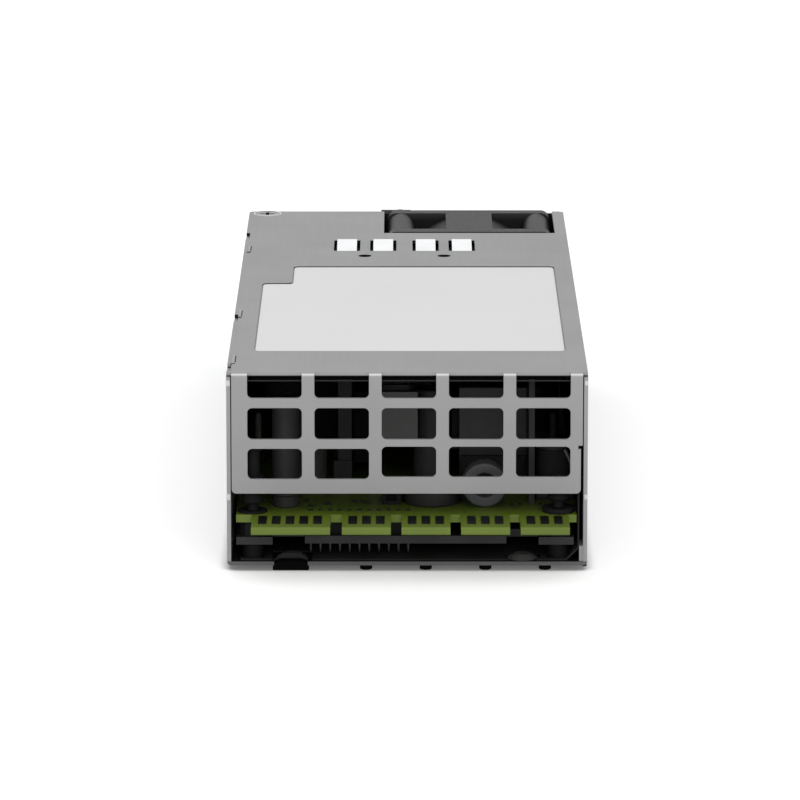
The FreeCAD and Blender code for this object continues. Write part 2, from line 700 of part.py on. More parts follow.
def liners():
    """Insulating films under the cover and over the floor and right wall."""
    top = block(("-case_wide / 2 + lip_wide + 0.6", "case_wide / 2 - lip_wide - 0.6"),
                ("0.95", "122"), ("case_tall - 1.35", "case_tall - 0.95"))
    node(group([top]), "top_liner")
    body = new_body()
    sketch = sketch_on(body, "XZ_Plane", "-0.95")
    low = "sheet_thick + 0.02"
    draw_outline(sketch, [
        ("-34", low), ("32.6", low), ("35.15", low + " + 2.6"), ("35.15", "37.6"),
        ("34.85", "37.6"), ("34.85", low + " + 2.75"), ("32.45", low + " + 0.3"),
        ("-34", low + " + 0.3")])
    pad(body, sketch, "154.5", backwards=True)
    body_block(body, ("bumper_left - 0.3", "bumper_right + 0.9"), ("0", "8"), ("0", "5"),
               add=False)
    body_prism(body, 12, "ramp_radius + 0.5", ("ramp_x", "ramp_radius + 0.1", "0"), "5",
               add=False)
    for x in ("post_left_x", "post_right_x"):
        for y in ("post_front_y", "post_rear_y"):
            body_block(body, (x + " - 2.35", x + " + 2.35"), (y + " - 2.35", y + " + 2.35"),
                       ("0", "5"), add=False)
    return node(body, "floor_liner")


# ---------------------------------------------------------------- boards

def main_board():
    """Main circuit board with five card-edge tabs and a tongue under the inlet."""
    body = new_body()
    sketch = sketch_on(body, "XY_Plane", "board_low")
    draw_outline(sketch, [
        ("board_left", "board_front"), ("board_right", "board_front"),
        ("board_right", "board_rear"), ("fan_x - fan_size / 2 - 1.5", "board_rear"),
        ("fan_x - fan_size / 2 - 1.5", "board_end"), ("board_left", "board_end")])
    pad(body, sketch, "board_thick")
    body_block(body, ("tab_first", "tab_first + tab_first_wide"), ("-tab_reach", "board_front + 1"),
               ("board_low", "board_low + board_thick"))
    tab = body_block(body, ("tab_next", "tab_next + tab_wide"), ("-tab_reach", "board_front + 1"),
                     ("board_low", "board_low + board_thick"))
    row_of(body, tab, "X_Axis", "tab_pitch", 4)
    tip = -VALUE["tab_reach"]
    round_edges(body, "0.35", lambda box: near(box.YMin, tip) and near(box.YMax, tip)
                and box.XLength > 5, "Chamfer")
    return node(body, "main_board")


def edge_contacts():
    """Contacts on both faces of the card-edge tabs."""
    middles = [("tab_first + tab_first_wide / 2 - 0.2", 5)]
    for tab in range(4):
        middles.append(("tab_next + tab_wide / 2 + %d * tab_pitch" % tab, 3))
    items = []
    for middle, count in middles:
        for i in range(count):
            x = "%s + %s * contact_pitch" % (middle, i - (count - 1) / 2)
            for z in ("board_low - contact_thick", "board_low + board_thick"):
                items.append(block((x + " - contact_wide / 2", x + " + contact_wide / 2"),
                                   ("-contact_long", "0"), (z, z + " + contact_thick")))
    return node(group(items), "edge_contacts")


# square hole round the first board-to-board pin
PIN_HOLE_X = ("pin_first - 0.28", "pin_first + 0.28")
PIN_HOLE_Y = ("pin_y - 0.28", "pin_y + 0.28")


def lower_board():
    """Auxiliary board under the front of the main board."""
    body = new_body()
    sketch = sketch_on(body, "XY_Plane", "lower_low")
    draw_outline(sketch, [
        ("board_left", "lower_front"), ("slot_first", "lower_front"),
        ("slot_first", "lower_front + slot_deep"),
        ("slot_first + slot_wide", "lower_front + slot_deep"),
        ("slot_first + slot_wide", "lower_front + 1"), ("slot_second", "lower_front + 1"),
        ("slot_second", "lower_front + slot_deep"),
        ("slot_second + slot_wide", "lower_front + slot_deep"),
        ("slot_second + slot_wide", "lower_front"), ("lower_right", "lower_front"),
        ("lower_right", "lower_rear"), ("board_left", "lower_rear")])
    pad(body, sketch, "board_thick")
    pin = body_block(body, PIN_HOLE_X, PIN_HOLE_Y, ("lower_low - 1", "board_low"), add=False)
    row_of(body, pin, "X_Axis", "pin_pitch", 11)
    return node(body, "lower_board")


def board_header():
    """Board-to-board pins in their moulded strip."""
    body = new_body()
    last = "pin_first + 10 * pin_pitch"
    sketch = sketch_on(body, "XY_Plane", "lower_low + board_thick")
    draw_rectangle(sketch, ("pin_first - 1", last + " + 1"), ("pin_y - 1", "pin_y + 1"))
    pad(body, sketch, "board_low - lower_low - board_thick")
    hole = body_block(body, PIN_HOLE_X, PIN_HOLE_Y, ("lower_low", "board_low + 1"), add=False)
    row_of(body, hole, "X_Axis", "pin_pitch", 11)
    node(body, "header_strip")
    pins = []
    for i in range(11):
        x = "pin_first + %d * pin_pitch" % i
        pins.append(block((x + " - 0.25", x + " + 0.25"), ("pin_y - 0.25", "pin_y + 0.25"),
                          ("lower_low - 2.5", "board_low - 0.02")))
    node(group(pins), "header_pins")


def board_posts():
    """Standoffs and spacers, and the stepped posts above them."""
    top = "board_low + board_thick"
    standoffs, spacers = [], []
    for x in ("post_left_x", "post_right_x"):
        for y in ("post_front_y", "post_rear_y"):
            standoffs.append(prism(16, "2.05", (x, y, "sheet_thick"), "lower_low - sheet_thick"))
            spacers.append(prism(12, "2.9", (x, y, "lower_low + board_thick"),
                                 "board_low - lower_low - board_thick"))
    node(group(standoffs), "lower_standoffs")
    node(group(spacers), "board_spacers")
    left, right = ("post_left_x", "post_front_y"), ("post_right_x", "post_front_y")
    washers = [rod("3.1", left + (top,), "0.4"), rod("3.35", right + (top,), "1")]
    node(group(washers), "board_washers")
    posts = [fuse(prism(16, "1.15", left + (top + " + 0.4",), "2.4"),
                  prism(16, "2.25", left + (top + " + 2.3",), "5.2"),
                  prism(16, "1.5", left + (top + " + 7",), "7.2")),
             fuse(prism(16, "1.15", right + (top + " + 1",), "1.8"),
                  prism(16, "2.25", right + (top + " + 2.3",), "5.2"))]
    for x in ("post_left_x", "post_right_x"):
        posts.append(fuse(prism(6, "2.5", (x, "post_rear_y", top), "2"),
                          prism(10, "0.72", (x, "post_rear_y", top + " + 1.5"), "8.8")))
    node(group(posts), "support_posts")


# ---------------------------------------------------------------- components

TOP = "board_low + board_thick"


def on_board(x, y, high, lift="0"):
    """A block standing on the main board."""
    return block(x, y, (TOP + " + " + lift, TOP + " + " + lift + " + " + str(high)))


def output_stage():
    """Output capacitors, current ring, chokes and control card seen behind the grille."""
    small = [rod(radius, (x, y, TOP), high)
             for radius, x, y, high in (
                 ("2.75", "-24.9", "9.8", "21.5"), ("2.75", "-24.7", "18", "21.5"),
                 ("2.75", "-19.4", "24", "10.2"), ("3.7", "5.1", "28.3", "20.9"))]
    node(group(small), "output_capacitors")
    node(group([rod("6.1", ("5.1", "13.8", TOP), "3.5")]), "filter_capacitor")
    current_ring = cut(rod("4.65", ("15.9", "7.5", TOP + " + 4.7"), "4.6", "y"),
                       rod("2.5", ("15.9", "7", TOP + " + 4.7"), "6", "y"))
    node(group([current_ring]), "current_ring")
    node(group([block(("25.05", "26.2"), ("11", "62"), (TOP, "38"))]), "control_card")
    chips = [block(("26.2", "27.7"), (str(y), str(y + 9)), ("26", "30.3")) for y in (32, 46)]
    node(group(chips), "control_chips")
    choke = cut(rod("3.9", ("30.5", "20.5", TOP + " + 2.3"), "8.8"),
                rod("1.6", ("30.5", "20.5", TOP + " + 8"), "4"))
    base = on_board(("26.6", "34.4"), ("15", "26"), "2.4")
    node(group([fuse(choke, base)]), "output_choke")
    bars = [fuse(on_board(("-14.35", "-11.55"), (str(y), str(y + 1.2)), "25"),
                 on_board(("-15.3", "-11.5"), (str(y - 0.6), str(y + 1.8)), "5"))
            for y in (30, 44)]
    node(group(bars), "output_bus_bars")
    socket = cut(on_board(("-5.1", "-1.3"), ("10.5", "14"), "3.4"),
                 block(("-4.3", "-2.1"), ("10", "12.5"), (TOP + " + 0.8", TOP + " + 2.6")))
    node(group([socket]), "signal_socket")


def secondary_heatsink():
    """Bent heatsink plate with fins along its back."""
    body = new_body()
    sketch = sketch_on(body, "XY_Plane", TOP)
    draw_outline(sketch, [("-7.6", "22"), ("2.2", "22"), ("2.2", "24"), ("-5.6", "24"),
                          ("-5.6", "58"), ("-7.6", "58")])
    pad(body, sketch, "21.2")
    body_block(body, ("-5.6", "2.3"), ("21.9", "24.1"), (TOP, TOP + " + 10.4"), add=False)
    fin = body_block(body, ("-5.8", "0.5"), ("29", "30.2"), (TOP + " + 10.4", TOP + " + 21.2"))
    row_of(body, fin, "Y_Axis", "5.4", 6)
    node(body, "secondary_heatsink")
    packages = [on_board(("-11", "-7.6"), (str(y), str(y + 10)), "15", "3") for y in (37, 48)]
    node(group(packages), "rectifier_transistors")


def main_transformer():
    """Ferrite core round a wound bobbin."""
    low = TOP + " + 1.2"
    core = cut(block(("10.95", "24.9"), ("30", "56"), (low, low + " + 19.2")),
               block(("10", "26"), ("34", "52"), (low + " + 5", low + " + 15")))
    node(group([core]), "transformer_core")
    winding = [block(("9.4", "24.8"), ("34.1", "51.9"), (low + " + 5.1", low + " + 14.9")),
               on_board(("11.2", "24.7"), ("34", "52"), "1.1"),
               on_board(("11.2", "24.7"), ("28.6", "29.95"), "6.1")]
    node(group(winding), "transformer_winding")


def primary_stage():
    """Bulk capacitor, boost choke and primary heatsink with its transistors."""
    bulk = prism(32, "12.6", ("-17.6", "66", TOP + " + 13"), "50", "y")
    node(group([bulk]), "bulk_capacitor")
    saddle = cut(on_board(("-29", "-6"), ("72", "110"), "5"),
                 rod("12.65", ("-17.6", "65", TOP + " + 13"), "52", "y"))
    node(group([saddle]), "capacitor_saddle")
    body = new_body()
    sketch = sketch_on(body, "XY_Plane", TOP)
    draw_rectangle(sketch, ("0", "3"), ("66", "116"))
    pad(body, sketch, "25")
    fin = body_block(body, ("2.8", "8"), ("68", "69.2"), (TOP + " + 8", TOP + " + 25"))
    row_of(body, fin, "Y_Axis", "7.5", 7)
    node(body, "primary_heatsink")
    transistors = [on_board(("-3.6", "0"), (str(y), str(y + 11)), "16", "3")
                   for y in (69, 84, 99)]
    node(group(transistors), "primary_transistors")
    choke = cut(prism(16, "11.5", ("21.5", "80", TOP + " + 2"), "15"),
                prism(12, "4.5", ("21.5", "80", TOP + " + 1"), "17"))
    base = on_board(("11", "32"), ("70", "90"), "2.1")
    node(group([fuse(choke, base)]), "boost_choke")


def mains_filter():
    """Bridge rectifier, filter chokes, filter capacitors, relay and fuse."""
    bridge = on_board(("12", "32"), ("98", "102"), "18", "1")
    plate = on_board(("11", "33"), ("102", "104"), "24")
    node(group([bridge]), "bridge_rectifier")
    node(group([plate]), "bridge_heatsink")
    chokes = []
    for x in ("-22", "20"):
        core = cut(prism(16, "9", (x, "132", TOP + " + 3"), "11"),
                   prism(12, "4", (x, "132", TOP + " + 2"), "13"))
        chokes.append(fuse(core, on_board((x + " - 7", x + " + 7"), ("125", "139"), "3.2")))
    node(group(chokes), "filter_chokes")
    capacitors = [on_board(("-8", "8"), ("122", "130"), "15"),
                  on_board(("-8", "8"), ("134", "142"), "15"),
                  on_board(("12", "30"), ("110", "118"), "15")]
    node(group(capacitors), "filter_capacitors")
    node(group([on_board(("12", "30"), ("144", "154"), "14")]), "inrush_relay")
    node(group([prism(12, "2.6", ("-26", "146", TOP + " + 3.4"), "18", "x")]), "line_fuse")
    card = block(("inlet_x - 12", "inlet_x + 12"), ("161", "162.6"), (TOP, "inlet_z + 9"))
    node(group([card]), "inlet_card")


# ---------------------------------------------------------------- fan

def fan_frame():
    """Two square flanges on a round duct with corner posts and the motor mount."""
    body = new_body()
    flange = sketch_on(body, "XZ_Plane", "-fan_front")
    x = ("fan_x - fan_size / 2", "fan_x + fan_size / 2")
    z = ("fan_z - fan_size / 2", "fan_z + fan_size / 2")
    draw_rounded(flange, x, z, "2")
    pad(body, flange, "fan_flange", backwards=True)
    second = sketch_on(body, "XZ_Plane", "-(fan_front + fan_deep - fan_flange)")
    draw_rounded(second, x, z, "2")
    start = ("fan_x", "fan_front", "fan_z")
    body_rod(body, "duct_radius", start, "fan_deep", "y")
    pad(body, second, "fan_flange", backwards=True)
    for side_x in (-1, 1):
        for side_z in (-1, 1):
            at = ("fan_x + %d * (fan_size / 2 - 3.2)" % side_x, "fan_front",
                  "fan_z + %d * (fan_size / 2 - 3.2)" % side_z)
            body_rod(body, "3.15", at, "fan_deep", "y")
    for side in (("fan_z + 15", "fan_z + fan_size / 2"), ("fan_z - fan_size / 2", "fan_z - 15")):
        body_block(body, ("fan_x - 5.35", "fan_x + 5.35"), ("fan_front", "fan_front + fan_deep"),
                   side)
    body_rod(body, "bore_radius", ("fan_x", "fan_front - 1", "fan_z"), "fan_deep + 2", "y",
             add=False)
    for side_x in (-1, 1):
        for side_z in (-1, 1):
            at = ("fan_x + %d * fan_hole_half" % side_x, "fan_front + fan_deep - 9",
                  "fan_z + %d * fan_hole_half" % side_z)
            body_prism(body, 8, "1.45", at, "10", "y", add=False)
    body_rod(body, "hub_radius + 0.3", start, "2", "y")
    strut = ("fan_x - 1.1", "fan_x + 1.1")
    body_block(body, strut, ("fan_front", "fan_front + 2"),
               ("fan_z - bore_radius - 0.3", "fan_z + bore_radius + 0.3"))
    body_block(body, ("fan_x - bore_radius - 0.3", "fan_x + bore_radius + 0.3"),
               ("fan_front", "fan_front + 2"), ("fan_z - 1.1", "fan_z + 1.1"))
    body_rod(body, "bearing_radius + 1", start, "19", "y")
    body_rod(body, "bearing_radius", ("fan_x", "fan_front + 1.2", "fan_z"), "20", "y", add=False)
    return node(body, "fan_frame")


def fan_motor():
    """Sleeve bearing inside the motor mount and the wound stator round it."""
    sleeve = cut(rod("bearing_radius - 0.02", ("fan_x", "fan_front + 1.3", "fan_z"), "17.4", "y"),
                 rod("shaft_radius + 0.03", ("fan_x", "fan_front", "fan_z"), "20", "y"))
    node(group([sleeve]), "fan_bearing")
    stator = cut(prism(12, "7.4", ("fan_x", "fan_front + 4", "fan_z"), "12", "y"),
                 prism(12, "bearing_radius + 1.18", ("fan_x", "fan_front + 3", "fan_z"), "14",
                       "y"))
    node(group([stator]), "fan_stator")


BLADES = 5
BLADE_THICK = 0.9
# height above the fan axis, chord and twist away from the axis of each blade section
ROOT = ("hub_radius - 1", 14.5, 45)
TIP = ("blade_tip + 0.6", 18.5, 54)


def blade_section(body, height, chord, twist):
    """A thin bowed section, slanted by its twist, on a plane above the fan axis."""
    sketch = sketch_on(body, "XY_Plane", "fan_z + " + height)
    angle = math.radians(twist)
    points = []
    for share, side in ((-0.5, -1), (0.5, -1), (0.5, 1), (-0.5, 1)):
        along = share * chord
        across = side * BLADE_THICK / 2
        x = along * math.sin(angle) + across * math.cos(angle)
        y = along * math.cos(angle) - across * math.sin(angle)
        points.append(("fan_x + %.3f" % x, "fan_front + fan_deep / 2 + %.3f" % y))
    draw_outline(sketch, points)
    return sketch


def fan_rotor():
    """Hub cup with five twisted blades, lofted, repeated and trimmed to the duct."""
    body = new_body()
    mouth = "fan_front + 3"
    body_rod(body, "hub_radius", ("fan_x", mouth, "fan_z"), "21", "y")
    loft = body.newObject("PartDesign::AdditiveLoft", "blade")
    loft.Profile = blade_section(body, *ROOT)
    loft.Sections = [blade_section(body, *TIP)]
    trim = sketch_on(body, "XY_Plane", "fan_z")
    draw_rectangle(trim, ("fan_x + blade_tip", "fan_x + blade_tip + 6"),
                   ("fan_front + 1", "fan_front + 27"))
    axis = trim.addGeometry(Part.LineSegment(Vector(3, 0, 0), Vector(3, 9, 0)), True)
    trim.addConstraint(Sketcher.Constraint("Vertical", axis))
    pin_point(trim, axis, 1, "fan_x", "0")
    pin_point(trim, axis, 2, y="10")
    blades = body.newObject("PartDesign::PolarPattern", "blades")
    blades.Originals = [loft]
    blades.Axis = (trim, ["Axis0"])
    blades.Angle = 360
    blades.Occurrences = BLADES
    body.Tip = blades
    before = solid_of(body).Volume
    groove = body.newObject("PartDesign::Groove", "trim")
    groove.Profile = trim
    groove.ReferenceAxis = (trim, ["Axis0"])
    groove.Angle = 360
    if solid_of(body).Volume > before - 1:
        raise RuntimeError("the blades are not trimmed")
    body_rod(body, "hub_radius - 1.2", ("fan_x", mouth, "fan_z"), "19.8", "y", add=False)
    node(body, "fan_rotor")
    shaft = rod("shaft_radius", ("fan_x", "fan_front + 1.4", "fan_z"), "21.4", "y")
    node(group([shaft]), "fan_shaft")


def fan_screws():
    """Four screws through the rear panel into the fan; the left two also hold the handle."""
    screws = []
    for side_x in (-1, 1):
        for side_z in (-1, 1):
            x = "fan_x + %d * fan_hole_half" % side_x
            z = "fan_z + %d * fan_hole_half" % side_z
            seat = "tray_long + panel_thick"
            if side_x < 0:
                seat = seat + " + ear_thick"
            head = prism(16, "2.4", (x, seat, z), "1.6", "y")
            shank = prism(8, "1.25", (x, "fan_front + 20", z),
                          "(%s) - fan_front - 19.5" % seat, "y")
            screws.append(fuse(head, shank))
    return node(group(screws), "fan_screws")


# ---------------------------------------------------------------- mains end

def mains_inlet():
    """Moulded inlet with a six-sided cavity, and its three blades."""
    rear = "tray_long + panel_thick"
    mouth = rear + " + 1"
    x = ("inlet_x - inlet_wide / 2", "inlet_x + inlet_wide / 2")
    z = ("inlet_z - inlet_tall / 2", "inlet_z + inlet_tall / 2")
    body = new_body()
    outer = sketch_on(body, "XZ_Plane", "-168.5")
    draw_rounded(outer, x, z, "1.2")
    pad(body, outer, mouth + " - 168.5", backwards=True)
    rim = sketch_on(body, "XZ_Plane", "-(%s)" % rear)
    draw_rounded(rim, (x[0] + " - inlet_rim", x[1] + " + inlet_rim"),
                 (z[0] + " - inlet_rim", z[1] + " + inlet_rim"), "1.6")
    pad(body, rim, "1", backwards=True)
    cavity = sketch_on(body, "XZ_Plane", "-(%s - socket_deep)" % mouth)
    left, right = "inlet_x - socket_wide / 2", "inlet_x + socket_wide / 2"
    low, high = "inlet_z - socket_tall / 2", "inlet_z + socket_tall / 2"
    draw_outline(cavity, [
        (left, low), (right, low), (right, high + " - socket_corner"),
        (right + " - socket_corner", high), (left + " + socket_corner", high),
        (left, high + " - socket_corner")])
    pocket(body, cavity, "socket_deep + 1")
    blades = []
    for step, lift in ((-1, -1), (0, 1), (1, -1)):
        centre_x = "inlet_x + %d * blade_pitch" % step
        centre_z = "inlet_z + %d * blade_offset" % lift
        body_block(body, (centre_x + " - 1.02", centre_x + " + 1.02"), ("160", "174"),
                   (centre_z + " - 2.02", centre_z + " + 2.02"), add=False)
        blades.append(block((centre_x + " - 1", centre_x + " + 1"),
                            ("162.7", mouth + " - 5"),
                            (centre_z + " - 2", centre_z + " + 2")))
    node(body, "mains_inlet")
    node(group(blades), "inlet_blades")


def handle():
    """Moulded loop handle: two screw ears, sloping arms and a rounded grip."""
    body = new_body()
    middle = "fan_x - fan_hole_half"
    foot = "tray_long + panel_thick"
    low, high = "fan_z - fan_hole_half", "fan_z + fan_hole_half"
    side = sketch_on(body, "YZ_Plane", middle)
    draw_outline(side, [
        (foot, low + " - 2.5"), (foot + " + ear_thick", low + " - 2.5"),
        (foot + " + ear_thick", low + " + 2.6"), ("handle_end - 5", "10.2"),
        ("handle_end", "14.5"), ("handle_end", "27.5"), ("handle_end - 5", "31.8"),
        (foot + " + ear_thick", high + " - 2.6"), (foot + " + ear_thick", high + " + 2.4"),
        (foot, high + " + 2.4"), (foot, high + " - 7"),
        ("handle_end - handle_bar - 3", "28.2"), ("handle_end - handle_bar", "25.4"),
        ("handle_end - handle_bar", "16.6"), ("handle_end - handle_bar - 3", "13.8"),
        (foot, low + " + 7")])
    pad(body, side, "handle_wide", both_sides=True)
    end = VALUE["handle_end"]
    round_edges(body, "1.1", lambda box: box.XLength < 0.1 and box.YMin > 193)
    for z in (low, high):
        body_prism(body, 8, "1.45", (middle, foot + " - 1", z), "10", "y", add=False)
    return node(body, "handle")


def latch_lever():
    """Steel lever with a square catch, a ramp and a rolled eye."""
    outer = "pivot_x - 1.7"
    body = new_body()
    plan = sketch_on(body, "XY_Plane", "lever_low")
    draw_outline(plan, [
        (outer, "pivot_y"), (outer + " + lever_thick", "pivot_y"),
        (outer + " + lever_thick", "203"), (outer, "203")])
    pad(body, plan, "lever_tall")
    catch = sketch_on(body, "XY_Plane", "lever_low + 0.5")
    reach = "-case_wide / 2 - catch_reach"
    draw_outline(catch, [
        (outer + " + 0.5", "catch_front"), (outer + " + 0.5", "catch_rear"),
        (reach, "catch_rear"), (reach, "catch_rear - 1"), (outer, "catch_front")])
    pad(body, catch, "lever_tall - 1")
    body_rod(body, "1.7", ("pivot_x", "pivot_y", "lever_low"), "lever_tall")
    body_rod(body, "pin_radius + 0.05", ("pivot_x", "pivot_y", "lever_low - 1"),
             "lever_tall + 2", add=False)
    return node(body, "latch_lever")


def latch_pad():
    """Moulded thumb pad with grip ribs, pushed over the end of the lever."""
    outer = "pivot_x - 1.7"
    inner = outer + " + lever_thick"
    body = new_body()
    plan = sketch_on(body, "XY_Plane", "lever_low - 2.5")
    draw_outline(plan, [
        (outer + " - 0.75", "190.5"), (inner + " + 0.4", "190.5"),
        (inner + " + 1.2", "193"), (inner + " + 1.2", "203"),
        (inner + " + 2", "205.6"), (outer + " - 0.75", "205.6")])
    pad(body, plan, "lever_tall + 5")
    rib = body_block(body, (inner + " + 1", inner + " + 1.8"), ("195", "196"),
                     ("lever_low - 1", "lever_low + lever_tall + 1"))
    row_of(body, rib, "Y_Axis", "2.2", 4)
    body_block(body, (outer + " - 0.01", inner + " + 0.01"), ("180", "203.01"),
               ("lever_low - 0.01", "lever_low + lever_tall + 0.01"), add=False)
    return node(body, "latch_pad")


def latch_mount():
    """Bracket on the side wall, the pin through its ears and the return spring."""
    wall = "-case_wide / 2 + sheet_thick"
    top = "lever_low + lever_tall"
    ears = []
    for z in (("lever_low - 1.1", "lever_low - 0.2"), (top + " + 0.2", top + " + 1.1")):
        ear = block((wall, "pivot_x + 2.2"), ("pivot_y - 3.4", "pivot_y + 2.2"), z)
        ears.append(cut(ear, prism(12, "pin_radius * 1.04",
                                   ("pivot_x", "pivot_y", z[0] + " - 1"), "3")))
    plate = block((wall, wall + " + 0.9"), ("pivot_y - 10", "pivot_y - 2.6"),
                  ("lever_low - 1.1", top + " + 1.1"))
    node(group([fuse(plate, *ears)]), "latch_bracket")
    pin = fuse(rod("pin_radius", ("pivot_x", "pivot_y", "lever_low - 1.6"), "lever_tall + 3"),
               prism(12, "1.6", ("pivot_x", "pivot_y", top + " + 1.1"), "0.7"))
    node(group([pin]), "latch_pin")
    body = new_body()
    strip = sketch_on(body, "XY_Plane", "lever_low + 1.2")
    root = wall + " + 0.9"
    draw_outline(strip, [
        (root, "pivot_y - 9"), (root + " + 0.3", "pivot_y - 9"),
        (root + " + 0.3", "pivot_y - 4"), ("pivot_x + 2.3", "pivot_y - 1.6"),
        ("pivot_x + 2.3", "pivot_y + 1.6"), ("pivot_x + 0.1", "pivot_y + 11.8"),
        ("pivot_x + 0.5", "pivot_y + 13.6"), ("pivot_x + 0.2", "pivot_y + 13.7"),
        ("pivot_x - 0.2", "pivot_y + 11.8"), ("pivot_x + 2", "pivot_y + 1.5"),
        ("pivot_x + 2", "pivot_y - 1.4"), (root, "pivot_y - 3.8")])
    pad(body, strip, "lever_tall - 2.4")
    node(body, "latch_spring")


def status_light():
    """Light pipe with a tapered lens in the rear panel."""
    face = "tray_long + panel_thick"
    pipe = fuse(prism(12, "1.5", ("-26", "tray_long - 9", "35.6"), "9 + panel_thick", "y"),
                rod("1.9", ("-26", face, "35.6"), "0.7", "y"))
    return node(group([pipe]), "status_lens")


def check_and_write():
    """Stop on any failed object or empty shape, then write one STEP file for each node."""
    doc.recompute()
    failed = [item.Label for item in doc.Objects if {"Invalid", "Error"} & set(item.State)]
    if failed:
        raise RuntimeError("objects failed: %s" % failed)
    os.makedirs("parts", exist_ok=True)
    facets = 0
    for item in nodes:
        shape = item.Shape
        if shape.isNull() or not shape.isValid() or not shape.Solids:
            raise RuntimeError("%s has no valid solid" % item.Label)
        facets += len(shape.tessellate(0.1)[1])
        shape.exportStep("parts/%s.step" % item.Label)
    print("%d nodes, about %d triangles" % (len(nodes), facets))


def main():
    fill_sheet()
    for make in (chassis_tray, top_cover, rear_panel, cover_screws, label_blank,
                 grounding_springs, front_bumper, liners, main_board, edge_contacts,
                 lower_board, board_header, board_posts, output_stage, secondary_heatsink,
                 main_transformer, primary_stage, mains_filter, fan_frame, fan_motor,
                 fan_rotor, fan_screws, mains_inlet, handle, latch_lever,
                 latch_pad, latch_mount, status_light):
        make()
    check_and_write()


main()
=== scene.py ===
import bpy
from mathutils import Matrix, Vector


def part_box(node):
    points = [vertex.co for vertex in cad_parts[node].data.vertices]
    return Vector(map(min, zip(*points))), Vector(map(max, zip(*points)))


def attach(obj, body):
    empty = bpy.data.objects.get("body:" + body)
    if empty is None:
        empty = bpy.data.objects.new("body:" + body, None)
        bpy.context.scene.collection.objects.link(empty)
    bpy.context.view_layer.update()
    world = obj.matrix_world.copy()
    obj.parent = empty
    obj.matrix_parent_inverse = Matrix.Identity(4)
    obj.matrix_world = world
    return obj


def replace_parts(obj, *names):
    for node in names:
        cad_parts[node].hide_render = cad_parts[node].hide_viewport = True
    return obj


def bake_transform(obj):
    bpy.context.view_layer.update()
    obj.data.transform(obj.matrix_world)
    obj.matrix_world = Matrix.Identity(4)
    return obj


bl_info = {
    "name": "Hot Swap Server Power Supply",
    "version": (1, 0, 0),
    "blender": (4, 5, 0),
    "location": "3D View > Sidebar > Power Supply",
    "description": "Finishes and small pieces of a slim server power supply",
    "category": "Object",
}

import math

import bmesh
import bpy
from mathutils import Matrix, Vector

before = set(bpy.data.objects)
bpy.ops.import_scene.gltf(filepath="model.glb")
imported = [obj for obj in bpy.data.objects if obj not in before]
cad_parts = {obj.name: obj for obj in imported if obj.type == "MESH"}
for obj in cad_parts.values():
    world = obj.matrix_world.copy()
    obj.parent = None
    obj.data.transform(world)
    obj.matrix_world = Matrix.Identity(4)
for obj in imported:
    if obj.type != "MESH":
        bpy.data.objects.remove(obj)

MM = 0.001
CASE = "case"
WHITE = (1, 1, 1, 1)
# height of the tray and of the whole case, in millimetres
TRAY_RISE, COVER_TOP = 39.2, 40.0
# faces that meet at more than this angle keep a sharp edge
SHARP = math.radians(35)

COVER_LOW, COVER_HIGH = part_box("top_cover")
CASE_MIDDLE_X, FRONT_Y = (COVER_LOW.x + COVER_HIGH.x) / 2, COVER_LOW.y
UNDERSIDE_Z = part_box("chassis_tray")[1].z - TRAY_RISE * MM


def at(x, y, z):
    """Millimetres from the middle of the grille's front face at the case's underside."""
    return Vector((CASE_MIDDLE_X + x * MM, FRONT_Y + y * MM, UNDERSIDE_Z + z * MM))


def case_box(name):
    """Corners of a CAD node in the millimetres that at() takes."""
    return [(corner - at(0, 0, 0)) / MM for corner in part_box(name)]


BOARD_TOP = case_box("main_board")[1].z
LOWER_LOW = case_box("lower_board")[0].z

# small capacitors on the board: x, y, radius, foot and top, in millimetres
SMALL_CANS = (
    (-24.9, 9.8, 2.75, BOARD_TOP, BOARD_TOP + 21.5),
    (-24.7, 18.0, 2.75, BOARD_TOP, BOARD_TOP + 21.5),
    (-19.4, 24.0, 2.75, BOARD_TOP, BOARD_TOP + 10.2),
    (5.1, 28.3, 3.7, BOARD_TOP, BOARD_TOP + 20.9),
)

# feet at the front edge, with black caps as painted shade: how many, first foot, spacing and
# depth
FEET, FOOT_X, FOOT_STEP, FOOT_Y = 4, -8.37, 12.19, 1.7

# cover's screw beside the inlet: x and y
COVER_SCREW = (-32.5, 182.6)

# lanced tabs along the cover's left edge: where each starts
TABS_Y = (10.6, 58.6, 133.6)

# nubs on the side walls' front edges, lit by painted highlights: foot and top
NUBS_Z = ((13.75, 14.85), (37.5, 38.5))

# small surface parts: x, y and whether they lie along the case
CHIPS = (
    (-19.9, 8.4, False), (-16.4, 10.6, False), (-10.8, 12.8, False), (-8.3, 11.9, False),
    (21.6, 9.4, True), (23.2, 9.6, True), (27.4, 9.8, True), (-30.2, 13.5, False),
    (-31.8, 16.2, True), (-20.6, 13.4, True),
)


# ---------------------------------------------------------------- settings

class MetalSettings(bpy.types.PropertyGroup):
    """Colours of the folded sheet metal and the small metal parts."""
    sheet: bpy.props.FloatVectorProperty(
        name="Sheet", description="Zinc-plated sheet of the case", subtype="COLOR",
        size=3, min=0, max=1, default=(0.326, 0.326, 0.328))
    spring: bpy.props.FloatVectorProperty(
        name="Spring", description="Bright grounding springs", subtype="COLOR",
        size=3, min=0, max=1, default=(0.93, 0.94, 0.95))
    screw: bpy.props.FloatVectorProperty(
        name="Screw", description="Screws of the case", subtype="COLOR",
        size=3, min=0, max=1, default=(0.3, 0.3, 0.3))
    post: bpy.props.FloatVectorProperty(
        name="Post", description="Blackened posts and washers between the boards",
        subtype="COLOR", size=3, min=0, max=1, default=(0.009, 0.009, 0.0095))
    grain: bpy.props.FloatProperty(
        name="Grain", description="Depth of the rolling grain", min=0, max=1, default=0.25,
        subtype="FACTOR")


